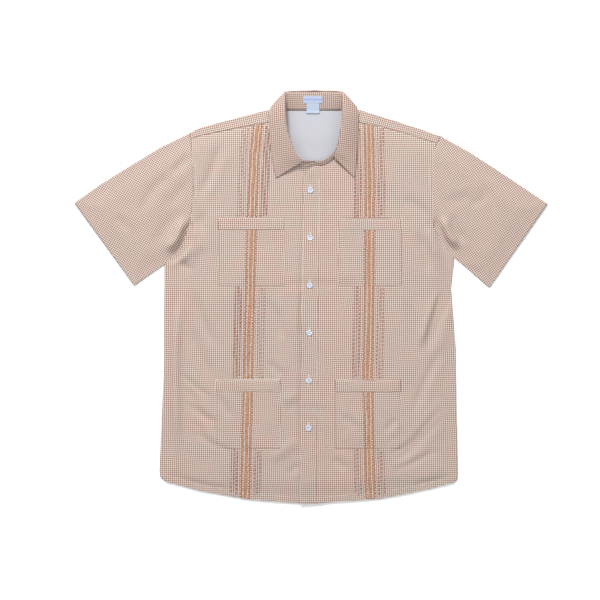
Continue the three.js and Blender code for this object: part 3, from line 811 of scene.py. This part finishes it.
PANEL_STEP = 3.1
BAND_STEP = 2.8
PLACKET_STEP = 2.6
BACK_STEP = 6.5
YOKE_STEP = 3.4
YOKE_ROWS = 26
YOKE_ROLL = (-80, -50, -20, 10, 40, 70, 90)  # degrees round the shoulder
TUCKS_FROM, TUCKS_TO = 334, -389
TUCK_OFFSETS = (-28.5, -23, -17.5, 17.5, 23, 28.5)
TUCK_HALF = 1.25
TUCK_RISE = 0.75
TUCK_STEP = 2.6
TUCK_SHAPE = [(-TUCK_HALF, 0.0), (-0.9, 0.5), (-0.2, 0.95), (0.6, 0.85), (1.1, 0.4)]
TUCK_SHAPE.append((TUCK_HALF, 0.0))
SLEEVE_LINES, SLEEVE_HALF = 72, 64
SLEEVE_CROWDING = 0.11  # how much closer the lines lie near the folded edges
SLEEVE_ROLL = 3.6  # radius of those edges
SLEEVE_EDGE = 2.6  # most height of the tube at a folded edge
SLEEVE_HEM = 22


def armhole_below(side, y):
    """The part of an armhole below y, from a point at y itself."""
    points = line(side["armhole"])
    return np.vstack([[x_at(points, y), y], points[points[:, 1] < y]])


def front_outline(name):
    """Round a front: yoke seam, armhole, side, hem, centre and neck."""
    side = SIDES[name]
    seam = shifted(side["yoke_seam"], 0, YOKE_OVERLAP)
    armhole = armhole_below(side, seam[-1][1])[1:]
    centre = (UNDERLAP_X, CENTRE_HEM[1]) if name == "right" else CENTRE_HEM
    hem = HEM[1:] if name == "right" else HEM[:-1][::-1]
    hem = [p for p in hem if (p[0] - centre[0]) * side["sign"] > 0]
    neck = shifted(side["neck"], 0, -SEAM_GAP)[1:][::-1]
    return np.vstack([seam, armhole, side["side"][1:], hem, [centre], neck])


def pocket_box(name):
    """A pocket's low and high corners, and the y of its band's lower edge."""
    low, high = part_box(f"pocket_{name}")
    band_low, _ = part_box(f"pocket_band_{name}")
    return low / MM, high / MM, band_low.y / MM


def tuck_stretches(name):
    """Where a tuck shows: above, between and below the pockets."""
    chest_low, chest_high, _ = pocket_box(f"chest_{name}")
    lower_low, lower_high, _ = pocket_box(f"lower_{name}")
    return [
        (TUCKS_FROM, chest_high.y + 1),
        (chest_low.y - 1, lower_high.y + 1),
        (lower_low.y - 1, TUCKS_TO),
    ]


def tuck(name, offset, start, end):
    """A narrow stitched ridge of cloth down the front, its base just inside the panel."""
    count = int((start - end) / TUCK_STEP)
    y = np.linspace(start, end, count)
    wander = 0.35 * ripple(np.full(count, offset * 9.0), y, 8, 12)
    x = x_at(SIDES[name]["embroidery"], y) + offset + wander
    rows = []
    for across, height in TUCK_SHAPE:
        z = front_mid(name, x + across, y) + PLY / 2 + TUCK_RISE * height - 0.05
        rows.append(np.column_stack([x + across, y, z]))
    base = rows[0][:, 2] - 0.3
    rows += [np.column_stack([x + sign * TUCK_HALF, y, base]) for sign in (1, -1)]
    points = np.stack(rows, 1).reshape(-1, 3)
    return points, net_faces(count, len(rows), around=True), points[:, :2]


def front(name):
    flat, faces = filled(front_outline(name), PANEL_STEP, rings=(0.5, 1.3, 2.5))
    points = stand_up(flat, front_mid(name, *flat.T))
    stretches = tuck_stretches(name)
    tucks = [tuck(name, offset, *stretch) for offset in TUCK_OFFSETS for stretch in stretches]
    return cloth(f"front_{name}", points, faces, flat, islands=tucks)


def back():
    seam = YOKE_SEAM_Y - SEAM_GAP
    right, left = (
        np.vstack([armhole_below(side, seam), side["side"][1:]]) for side in SIDES.values()
    )
    outline = np.vstack([right, HEM[1:-1], left[::-1]])
    flat, faces = filled(outline, BACK_STEP, rings=(0.6, 1.6, 3))
    x, y = flat.T
    gap = np.min([gap_to(side["side"], x, y) for side in SIDES.values()], axis=0)
    z = rolled(back_mid(x, y), gap, SEAM_Z - 0.15, 2.2)
    return cloth("back_panel", stand_up(flat, z), faces[:, ::-1], flat)


def yoke():
    """The plate behind the neck, rolled over each shoulder to the front seam."""
    right, left = SIDES["right"], SIDES["left"]
    top_right = spaced(right["shoulder"][::-1], YOKE_STEP)
    top_left = spaced(left["shoulder"], YOKE_STEP)
    neck = spaced([right["shoulder"][0], left["shoulder"][0]], YOKE_STEP)[1:-1]
    top = np.vstack([top_right, neck, top_left])
    columns = len(top)
    share = lengths(top) / lengths(top)[-1]
    start, end = (x_at(side["armhole"], YOKE_SEAM_Y) for side in (right, left))
    low_x = (start + (end - start) * share)[:, None]
    t = np.linspace(0, 1, YOKE_ROWS)
    x = low_x + (top[:, :1] - low_x) * t
    y = YOKE_SEAM_Y + (top[:, 1:] - YOKE_SEAM_Y) * t
    plate = np.stack([x, y, back_mid(x, y)], -1).reshape(-1, 3)
    blocks, grains = [plate], [plate[:, :2]]
    faces = [net_faces(columns, YOKE_ROWS)[:, ::-1]]
    for side, first, last in ((right, 0, len(top_right)), (left, columns - len(top_left), columns)):
        edge = top[first:last]
        seam_line = line(side["yoke_seam"])[:: side["sign"]]
        seam = along(seam_line, lengths(edge) / lengths(edge)[-1])
        low, high = back_mid(*edge.T), top_mid(*edge.T)
        middle, radius = (low + high) / 2, (high - low) / 2
        out = edge - seam
        out = out / np.linalg.norm(out, axis=1, keepdims=True) * radius[:, None]
        rows = []
        for angle in np.radians(YOKE_ROLL):
            place = edge + out * (np.cos(angle) - 1)
            rows.append(stand_up(place, middle + radius * np.sin(angle)))
        for t in np.linspace(0, 1, 8)[1:]:
            place = edge - out + (seam - edge + out) * t
            dip = SEAM_DIP * bell(20 * (1 - t), 1.2)
            rows.append(stand_up(place, top_mid(*place.T) - dip))
        own = sum(len(block) for block in blocks) + np.arange(len(rows) * len(edge))
        joint = np.arange(first, last) * YOKE_ROWS + YOKE_ROWS - 1
        index = np.vstack([joint, own.reshape(len(rows), len(edge))])
        corners = (index[:-1, :-1], index[1:, :-1], index[1:, 1:], index[:-1, 1:])
        faces.append(np.stack([corner.ravel() for corner in corners], -1))
        blocks.append(np.vstack(rows))
        slope = (seam_line[-1] - seam_line[0]) / np.linalg.norm(seam_line[-1] - seam_line[0])
        turned = blocks[-1][:, :2] @ np.column_stack([slope, (-slope[1], slope[0])])
        grains.append(turned + (0, right["shoulder"][0][1]))
    return cloth(
        "back_yoke", np.vstack(blocks), np.vstack(faces), np.vstack(grains)
    )


def sleeve(name):
    """A flat tube between the armhole and the cuff, its print turned with its own grain."""
    side = SIDES[name]
    u = np.linspace(0, 1, SLEEVE_LINES)[:, None, None]
    s = np.linspace(0, 1, SLEEVE_HALF)
    v = s - SLEEVE_CROWDING * np.sin(2 * math.pi * s)
    cuff_line = [side["overarm"][-1], side["cuff_end"]]
    over = along(side["overarm"], u[:, :, 0])
    under = along([side["underarm"], side["cuff_end"]], u[:, :, 0])
    armhole, cuff = along(side["armhole"], v), along(cuff_line, v)
    v = v[:, None]
    straight = over + (under - over) * v
    chords = [ends[0] + (ends[-1] - ends[0]) * v for ends in (armhole, cuff)]
    grid = straight + (1 - u) * (armhole - chords[0]) + u * (cuff - chords[1])
    x, y = grid[..., 0], grid[..., 1]
    width = np.linalg.norm(under - over, axis=2)
    gap = np.minimum(width * v[:, 0], width - width * v[:, 0])
    top = top_mid(x, y) - SEAM_DIP * bell(gap_to(side["armhole"], x, y), SEAM_WIDTH)
    top = top + 0.35 * fall(gap_to(cuff_line, x, y), SLEEVE_HEM, 2.5)
    low = back_mid(x, y)
    middle = 0.5 * (low + np.minimum(top, low + SLEEVE_EDGE))
    upper, lower = (np.dstack([grid, rolled(z, gap, middle, SLEEVE_ROLL)]) for z in (top, low))
    ring = np.concatenate([upper, lower[:, 1:-1][:, ::-1]], 1)
    steps = ring.shape[1]
    points = ring.reshape(-1, 3)
    faces = net_faces(SLEEVE_LINES, steps, around=True)
    faces = facing_up(points, faces, (SLEEVE_LINES // 2) * steps + SLEEVE_HALF // 2)
    angle = math.radians(side["sleeve_grain"])
    cos, sin = math.cos(angle), math.sin(angle)
    top_grain = grid @ np.array([[cos, -sin], [sin, cos]])
    around = 2 * top_grain[:, -1:] - top_grain[:, 1:-1][:, ::-1]
    grain = np.concatenate([top_grain, around], 1).reshape(-1, 2)
    return cloth(f"sleeve_{name}", points, faces, grain)


# ---- Pieces sewn on ----


def placket():
    """The strip down the edge of the wearer's left front, stitched along both sides."""
    outline = [CENTRE_TOP, CENTRE_HEM, (CENTRE_HEM[0] + PLACKET_WIDTH, CENTRE_HEM[1] + 0.6)]
    outline += [(CENTRE_TOP[0] + PLACKET_WIDTH, CENTRE_TOP[1] + 25), PLACKET_TOP]
    flat, faces = filled(line(outline), PLACKET_STEP, rings=(0.4, 1.1))
    x, y = flat.T
    from_edge = x - x_at([CENTRE_TOP, CENTRE_HEM], y)
    z = front_mid("left", x, y) + PATCH + 0.55 * fall(from_edge, 14, 14)
    z = z - 0.35 * fall(gap_to(outline + outline[:1], x, y), 0, 1.6) + 0.2 * ripple(x, y, 14, 21)
    grain = np.column_stack([from_edge, y])
    return cloth("placket", stand_up(flat, z), faces, grain, wall=0.8)


def puffed(x, y, edge):
    """Rise of a pocket's loose middle, edge away from its stitched sides."""
    return 0.7 * smooth(edge / 22) * (1 + 0.4 * ripple(x, y, 34, 31))


def rectangle(low, high, y0):
    """The outline of a box from y0 up."""
    return line([(low.x, y0), (high.x, y0), (high.x, high.y), (low.x, high.y)])


def pocket(name):
    """A pocket, sewn down round three sides, and the hem band across its top."""
    side_name = name.split("_")[1]
    low, high, band_y = pocket_box(name)
    x0, x1, y1 = low.x, high.x, high.y
    flat, faces = filled(rectangle(low, high, low.y), PANEL_STEP, rings=(0.4, 1.2, 2.4))
    x, y = flat.T
    edge = np.minimum.reduce([x - x0, x1 - x, y - low.y])
    z = front_mid(side_name, x, y) + PATCH + puffed(x, y, edge) - 0.5 * fall(edge, 0, 2.2)
    z = z + 0.12 * np.sin(y * 0.8) * fall(np.abs(edge - 3), 0, 4)
    body = cloth(f"pocket_{name}", stand_up(flat, z), faces, flat + (0.7, 1.1))
    flat, faces = filled(rectangle(low, high, band_y), BAND_STEP, rings=(0.4, 1.2))
    x, y = flat.T
    edge = np.minimum(x - x0, x1 - x)
    rim = np.minimum(edge, y1 - y)
    z = front_mid(side_name, x, y) + 2 * PATCH + puffed(x, y, edge) - 0.95 * fall(rim, 0, 2.6)
    z = z - 0.4 * fall(y, band_y, 2.4) * rise(rim, 0, 2.6)
    z = z + 0.35 * rise(y, y1 - 8, 8) * ripple(x, y, 40, 33)
    band = cloth(f"pocket_band_{name}", stand_up(flat, z), faces, flat + (2.3, 0.4))
    return body, band


def top_of(side_name, x, y):
    """Height of the cloth's face where a stitch lies: on the front, a pocket or a band."""
    base = front_mid(side_name, x, y)
    z = base
    for kind in ("chest", "lower"):
        low, high, band_y = pocket_box(f"{kind}_{side_name}")
        edge = np.minimum.reduce([x - low.x, high.x - x, y - low.y])
        on = (edge > 0) & (y < high.y)
        z = np.where(on, base + PATCH * (1 + (y > band_y)) + puffed(x, y, edge), z)
    return z + PLY / 2


# ---- Stitches ----

SPINDLE = ((0.0, 0.5, 0.1), (0.16, 1.0, 1.0), (0.84, 1.0, 1.0), (1.0, 0.5, 0.1))
EMBROIDERY_FROM, EMBROIDERY_TO = 338, -395
SATIN_PITCH = 0.62
SATIN_HALF = 2.8
EDGE_SHIFTS = (-4.4, 4.2)  # of the pale edging beside the satin
EDGE_PITCH, EDGE_LENGTH = 3.1, 3.0
DOT_PITCH = 2.9
DOT_THREADS = (-0.75, 0, 0.75)  # where the threads of a dot lie along the column
DOT_HALVES = (1.35, 1.65, 1.35)  # and half the length of each
DOT_SWING = 1.1  # of the rust dots, by turns to each side of their column
LONG_PITCH = 7.8  # of the tucks' stitches and the pockets' side stitches
SHORT_PITCH = 3.9
SEAM_PITCH = 3.4
EDGE_STITCH_PITCH = 5.2
INSET = 1.8  # of a pocket's stitching from its edge


def stitches(starts, ends, width, height):
    """Closed little spindles from starts to ends, lying on the cloth."""
    starts, ends = np.asarray(starts, float), np.asarray(ends, float)
    run = ends - starts
    flat = np.column_stack([-run[:, 1], run[:, 0], np.zeros(len(run))])
    flat /= np.maximum(np.linalg.norm(flat, axis=1, keepdims=True), 1e-6)
    rows = []
    for share, swell, lift in SPINDLE:
        middle = starts + run * share
        side = flat * (width / 2 * swell)
        high, low = middle + (0, 0, height * lift), middle - (0, 0, 0.15)
        rows.append(np.stack([middle - side, high, middle + side, low], 1))
    points = np.stack(rows, 1).reshape(-1, 3)
    around = ((0, 1), (1, 2), (2, 3), (3, 0))
    one = [(i + j, i + k, i + k + 4, i + j + 4) for i in (0, 4, 8) for j, k in around]
    one += [(3, 2, 1, 0), (12, 13, 14, 15)]
    faces = (np.array(one)[None] + (np.arange(len(starts)) * 16)[:, None, None]).reshape(-1, 4)
    return points, faces


def thread_piece(name, groups, thread):
    points, faces, base = [], [], 0
    for more_points, more_faces in groups:
        points.append(more_points)
        faces.append(more_faces + base)
        base += len(more_points)
    piece = blender_mesh(name, np.vstack(points), np.vstack(faces).tolist(), [thread])
    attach(piece, "root")


def on_cloth(side_name, x, y, lift=0.22):
    """Points a lift above the cloth's face."""
    return np.column_stack([x, y, top_of(side_name, x, y) + lift])


def cross_stitches(side_name, x, y, half, slant, width, height):
    """Stitches across the line of their middles, half to each side of it."""
    first = on_cloth(side_name, x - half, y - slant)
    last = on_cloth(side_name, x + half, y + slant)
    return stitches(first, last, width, height)


def run_stitches(side_name, points, pitch, length, width=0.6, height=0.18, lift=0.12):
    """A row of running stitches along a line on the front."""
    total = lengths(line(points))[-1]
    at = np.arange(pitch * 0.3, total - length, pitch)
    first, last = (
        on_cloth(side_name, *along(points, way / total).T, lift) for way in (at, at + length)
    )
    return stitches(first, last, width, height)


def tuck_top(name, offset, y):
    """Points along a tuck's ridge."""
    x = x_at(SIDES[name]["embroidery"], y) + offset - 0.2
    return np.column_stack([x, y, front_mid(name, x, y) + PLY / 2 + TUCK_RISE * 0.9 + 0.1])


def embroidery_stretches(name):
    """Where the embroidery is worked: on the panel and the pockets, but not on their bands."""
    chest_low, chest_high, chest_band = pocket_box(f"chest_{name}")
    lower_low, lower_high, lower_band = pocket_box(f"lower_{name}")
    return [
        (EMBROIDERY_FROM, chest_high.y + 0.5),
        (chest_band - 0.5, chest_low.y + 0.5),
        (chest_low.y - 0.5, lower_high.y + 0.5),
        (lower_band - 0.5, lower_low.y + 0.5),
        (lower_low.y - 0.5, EMBROIDERY_TO),
    ]


def embroidery(name):
    """A satin line with pale edging, between two columns of zigzag dots and stitched tucks."""
    side = SIDES[name]
    middle = side["embroidery"]
    satin, scallops, edges, dashes = [], [], [], []
    for start, end in embroidery_stretches(name):
        y = np.arange(start, end, -SATIN_PITCH)
        x = x_at(middle, y)
        half = SATIN_HALF + 0.3 * ripple(x, y, 3, 41)
        satin.append(cross_stitches(name, x, y, half, slant=0.35, width=0.72, height=0.42))
        y = np.linspace(start, end, 24)
        for shift in EDGE_SHIFTS:
            way = np.column_stack([x_at(middle, y) + shift, y])
            edges.append(run_stitches(name, way, EDGE_PITCH, EDGE_LENGTH, width=0.9, height=0.26))
        for column, turn in zip(side["scallops"], (1, -1)):
            dots = np.arange(start - 1, end + 1, -DOT_PITCH)
            swing = np.where(np.arange(len(dots)) % 2, DOT_SWING, -DOT_SWING) * turn
            y = np.concatenate([dots + shift for shift in DOT_THREADS])
            x = x_at(middle, y) + column + np.tile(swing, len(DOT_THREADS))
            half = np.repeat(DOT_HALVES, len(dots))
            dot = cross_stitches(name, x, y, half, slant=0.2, width=0.95, height=0.5)
            scallops.append(dot)
    for offset in TUCK_OFFSETS:
        for (start, end), shown in zip(tuck_stretches(name), side["tucks"]):
            strength = shown[offset > 0]
            length = 2.4 + 3.6 * strength
            y = np.arange(start - (offset * 3.1) % 6, end + length, -LONG_PITCH)
            first, last = (tuck_top(name, offset, at) for at in (y, y - length))
            dashes.append(stitches(first, last, width=0.8 + 0.9 * strength, height=0.32))
    thread_piece(f"embroidery_satin_{name}", satin, ORANGE)
    thread_piece(f"embroidery_scallops_{name}", scallops, RUST_THREAD)
    thread_piece(f"embroidery_edges_{name}", edges, PALE_THREAD)
    thread_piece(f"tuck_stitching_{name}", dashes, DULL_RUST)


def topstitching():
    """Rust stitches along some edges, and pale ones that nearly vanish in the check. The rust row
    by the placket's left edge also stands in for that edge's shadow line, as painted shadow.
    """
    rust, pale = [], []
    for name in POCKETS:
        side_name = name.split("_")[1]
        low, high, band_y = pocket_box(name)
        x0, x1, y0, y1 = low.x + INSET, high.x - INSET, low.y + INSET, high.y - 4
        rust.append(run_stitches(side_name, [(x0, y1), (x0, y0)], LONG_PITCH, 4.6))
        other = rust if side_name == "left" else pale
        other.append(run_stitches(side_name, [(x1, y1), (x1, y0)], LONG_PITCH, 4.2))
        pale.append(run_stitches(side_name, [(x0, y0), (x1, y0)], SHORT_PITCH, 2.4))
        under_band = [(x0, band_y + INSET), (x1, band_y + INSET)]
        pale.append(run_stitches(side_name, under_band, SHORT_PITCH, 2.6))
    for name, side in SIDES.items():
        sign = side["sign"]
        armhole = shifted(side["armhole"], -sign * 5.5, 0)[1:-1]
        pale.append(run_stitches(name, armhole, SEAM_PITCH, 2.4))
        hem = spaced(shifted(HEM, 0, HEM_DEPTH + 1), 20)
        hem = [p for p in hem if (p[0] + 18) * sign > 4]
        pale.append(run_stitches(name, hem, SEAM_PITCH, 2.4))
    near, far = (shifted([CENTRE_TOP, CENTRE_HEM], dx, 0) for dx in (0.7, PLACKET_WIDTH - 0.8))
    pale.append(run_stitches("left", far, SHORT_PITCH, 2.9, lift=0.9))
    # This row is stitching and painted shadow at once: it stands in for the dark shade line along
    # the placket's raised left edge.
    rust.append(run_stitches("left", near, EDGE_STITCH_PITCH, 3.6, width=0.9, lift=0.75))
    thread_piece("topstitching_rust", rust, FADED_RUST_AND_SHADOW)
    thread_piece("topstitching_pale", pale, PALE_THREAD)


# ---- Collar ----

STAND_STEPS, LEAF_STEPS = 9, 22
SECTION_STEPS = 7  # between one row of the collar's tables and the next


def sections(front_rows, back_rows, columns):
    """Rows of both halves joined through the centre back and smoothed between."""
    halves = []
    for name, side in SIDES.items():
        rows = line([*front_rows[name], *back_rows])
        for k, column in enumerate(columns):
            if column.endswith("_x"):
                rows[:, k] = NECK_X + side["sign"] * rows[:, k]
        halves.append(rows)
    right, left = halves
    return curved(np.vstack([right, left[:-1][::-1]]), SECTION_STEPS)


def bent(start, middle, end, steps):
    """A net of curves from start to end, each pulled towards its middle."""
    t = np.linspace(0, 1, steps)[:, None]
    a, b, c = start[:, None], middle[:, None], end[:, None]
    return (1 - t) ** 2 * a + 2 * t * (1 - t) * b + t * t * c


def stand():
    rows = sections(STAND_FRONT, STAND_BACK, STAND_COLUMNS)
    x, y, top = rows[:, 0], rows[:, 1], rows[:, 2:5]
    on_front = top_mid(x, y) + np.where(x > 0, lap(x), 0) + 0.9
    z = np.where(y > NECK_SEAM_Y - 3, back_mid(x, y) + 0.7, on_front)
    seam = np.column_stack([x, y, z])
    return bent(seam, (seam + top) / 2 + (0, 0, 1.2), top, STAND_STEPS)


def leaf():
    rows = sections(LEAF_FRONT, LEAF_BACK, LEAF_COLUMNS)
    return bent(rows[:, 0:3], rows[:, 3:6], rows[:, 6:9], LEAF_STEPS)


def strip_grain(net):
    """Grain of a strip: u along it, v across it, both as lengths of cloth."""
    run = lengths(net[:, net.shape[1] // 2])
    across = np.linalg.norm(np.diff(net, axis=1), axis=2)
    up = np.concatenate([np.zeros((len(net), 1)), np.cumsum(across, 1)], 1)
    return np.stack([np.broadcast_to(run[:, None], up.shape), up], -1).reshape(-1, 2)


def leaf_print(net):
    """The leaf's check as it lies: rows almost straight across, rising a little to each side."""
    x, y, _ = net.reshape(-1, 3).T
    return np.column_stack([x, y + LEAF_SLANT * np.abs(x - NECK_X)])


def collar_piece(name, net, print_grain=None):
    return cloth(
        f"collar_{name}",
        net.reshape(-1, 3),
        net_faces(*net.shape[:2]),
        strip_grain(net),
        wall=COLLAR_PLY,
        sides=(COLLAR_CHECK, COLLAR_CHECK),
        print_grain=print_grain,
    )


# ---- Buttons and labels ----

HOLE_AT = 1.35
HOLE_RADIUS = 0.75
HOLES = [(sx * HOLE_AT, sy * HOLE_AT) for sx in (-1, 1) for sy in (-1, 1)]
BUTTON_HEIGHT = 2.1
BUTTONHOLE_HALF = 9.5
LABEL_NET = (30, 22)
LABEL_PLY = 0.3


def circle(radius, count=48):
    turn = np.arange(count) * math.tau / count
    return np.column_stack([radius * np.cos(turn), radius * np.sin(turn)])


def button(number):
    """A four-hole pearl button with a dished face; the place of its base is returned."""
    low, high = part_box(f"button_{number}")
    centre = (low + high) / 2 / MM
    radius = (high.x - low.x) / 2 / MM
    holes = [circle(HOLE_RADIUS, 14) + hole for hole in HOLES]
    circles = [circle(radius), *holes]
    circles += [circle(radius * share) for share in (0.93, 0.82, 0.7, 0.6)]
    circles += [circle(3.0), *[circle(1.06, 14) + hole for hole in HOLES]]
    edges, start = [], 0
    for each in circles:
        count = len(each)
        edges += [(start + i, start + (i + 1) % count) for i in range(count)]
        start += count
    flat, faces, middles = triangles(np.vstack(circles), edges, 1e-5)
    keep = inside(circles[0], *middles)
    for hole in holes:
        keep &= ~inside(hole, *middles)
    faces = faces[keep]
    away = np.hypot(*flat.T) / radius
    near_hole = np.min([np.hypot(*(flat - hole).T) for hole in HOLES], axis=0)
    top = BUTTON_HEIGHT - 0.62 * smooth((0.76 - away) / 0.22) - 0.75 * rise(away, 0.82, 0.18) ** 1.5
    top = top - 0.18 * fall(near_hole, HOLE_RADIUS, 0.3)
    shell = np.vstack([stand_up(flat, top), stand_up(flat, 0.35 * rise(away, 0.7, 0.3))])
    place = (centre.x, centre.y, low.z / MM)
    every_face = sum(shell_faces(faces, len(flat)), [])
    piece = blender_mesh(f"button_{number}_pearl", shell + place, every_face, [PEARL])
    stand_in(piece, f"button_{number}")
    return place


def button_threads(places):
    """Two passes of thread over each button's holes, and each buttonhole's whipped edge."""
    crossing, whipped = [], []
    for x, y, z in places:
        for shift in (-0.22, 0.22):
            for x0 in (-HOLE_AT, HOLE_AT):
                ends = [[(x + x0 + shift, y + sign * HOLE_AT, z + 1.45)] for sign in (-1, 1)]
                crossing.append(stitches(*ends, width=0.42, height=0.35))
        side_y = y + np.arange(-9.2, 9.3, 0.55)
        face = top_of("left", np.full(len(side_y), x), side_y) + LAYER + 0.55
        for sign in (-1, 1):
            starts = np.column_stack([np.full(len(side_y), x + sign * 0.35), side_y, face])
            ends = starts + (sign * 1.15, 0, -0.02)
            whipped.append(stitches(starts, ends, width=0.6, height=0.3))
        across = x + np.arange(-1.6, 1.7, 0.5)
        for sign, height in ((-1, face[0]), (1, face[-1])):
            end_y = y + sign * BUTTONHOLE_HALF - 0.7
            starts = np.array([(at, end_y, height) for at in across])
            whipped.append(stitches(starts, starts + (0, 1.5, 0), width=0.55, height=0.35))
    thread_piece("button_thread", crossing, PALE_THREAD)
    thread_piece("buttonhole_stitching", whipped, PALE_THREAD)


def label(name, ribbon, stand_net, droop):
    """A ribbon sewn to the inside of the stand, its lower end hanging droop proud of the back."""
    low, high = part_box(name)
    x0, x1, y0, y1 = low.x / MM, high.x / MM, low.y / MM, high.y / MM
    columns, rows = LABEL_NET
    x, y = np.meshgrid(np.linspace(x0, x1, columns), np.linspace(y1, y0, rows), indexing="ij")
    middle = stand_net[len(stand_net) // 2]
    order = np.argsort(middle[:, 1])
    base = np.interp(y, middle[order, 1], middle[order, 2])
    hang = NECK_SEAM_Y - y
    z = np.maximum(base, np.where(hang > -1, back_mid(x, y), 0)) + COLLAR_PLY / 2 + 0.35
    z = np.where(hang > 0, np.maximum(back_mid(x, y) + 1.6 + droop * hang / 7, 0), z)
    z = z + 0.15 * ripple(x, y, 9, 51)
    points = np.dstack([x, y, z]).reshape(-1, 3)
    faces = facing_up(points, net_faces(columns, rows), columns * rows // 2)
    shell, parts = thickened(points, faces, LABEL_PLY)
    grain = points[:, :2] - ((x0 + x1) / 2, (y0 + y1) / 2)
    both = np.vstack([grain, grain])
    piece = blender_mesh(f"{name}_ribbon", shell, sum(parts, []), [ribbon], grain=both)
    stand_in(piece, name)


# ---- The shirt ----

fronts = {name: front(name) for name in SIDES}
back_piece = back()
yoke_piece = yoke()
sleeves = {name: sleeve(name) for name in SIDES}
placket_piece = placket()
pockets = {name: pocket(name) for name in POCKETS}
stand_net, leaf_net = stand(), leaf()
stand_piece = collar_piece("stand", stand_net)
leaf_piece = collar_piece("leaf", leaf_net, leaf_print(leaf_net))
for name in SIDES:
    embroidery(name)
button_threads([button(number) for number in range(1, 7)])
label("neck_label", RIBBON, stand_net, droop=0.0)
label("size_label", SIZE_RIBBON, stand_net, droop=0.2)
topstitching()


# ---- Floor, light and camera ----

FLOOR_HALF = 4000
CAMERA_AT = (-0.0216, -0.0064, 2.777)


def floor():
    made, tree, shader = material("paper", 0.9)
    tone = noise(tree, place_of(tree), scale=3.0)
    coloured(tree, shader, mixed(tree, tone, (0.985, 0.985, 0.985), (0.995, 0.995, 0.995)))
    signs = ((-1, -1, 0), (1, -1, 0), (1, 1, 0), (-1, 1, 0))
    piece = blender_mesh("floor", line(signs) * FLOOR_HALF, [(0, 1, 2, 3)], [made])


def placed(name, data, place):
    thing = bpy.data.objects.new(name, data)
    thing.location = place
    bpy.context.scene.collection.objects.link(thing)
    return thing


def area_light(name, place, size, power):
    data = bpy.data.lights.new(name, "AREA")
    data.size = size
    data.energy = power
    lamp = placed(name, data, place)
    lamp.rotation_euler = (-Vector(place)).to_track_quat("-Z", "Y").to_euler()


floor()
area_light("key", (-0.7, 2.9, 2.0), size=0.8, power=118)
area_light("side_right", (-1.9, -0.1, 1.9), size=1.2, power=9)
area_light("side_left", (1.9, -0.1, 1.9), size=1.2, power=9)

world = bpy.data.worlds.new("studio")
world.use_nodes = True
world.node_tree.nodes["Background"].inputs["Color"].default_value = (1, 1, 1, 1)
world.node_tree.nodes["Background"].inputs["Strength"].default_value = 0.58
bpy.context.scene.world = world

camera_data = bpy.data.cameras.new("camera")
camera_data.lens = 85
camera_data.sensor_width = 36
bpy.context.scene.camera = placed("camera", camera_data, CAMERA_AT)
bpy.context.scene.view_settings.view_transform = "Standard"
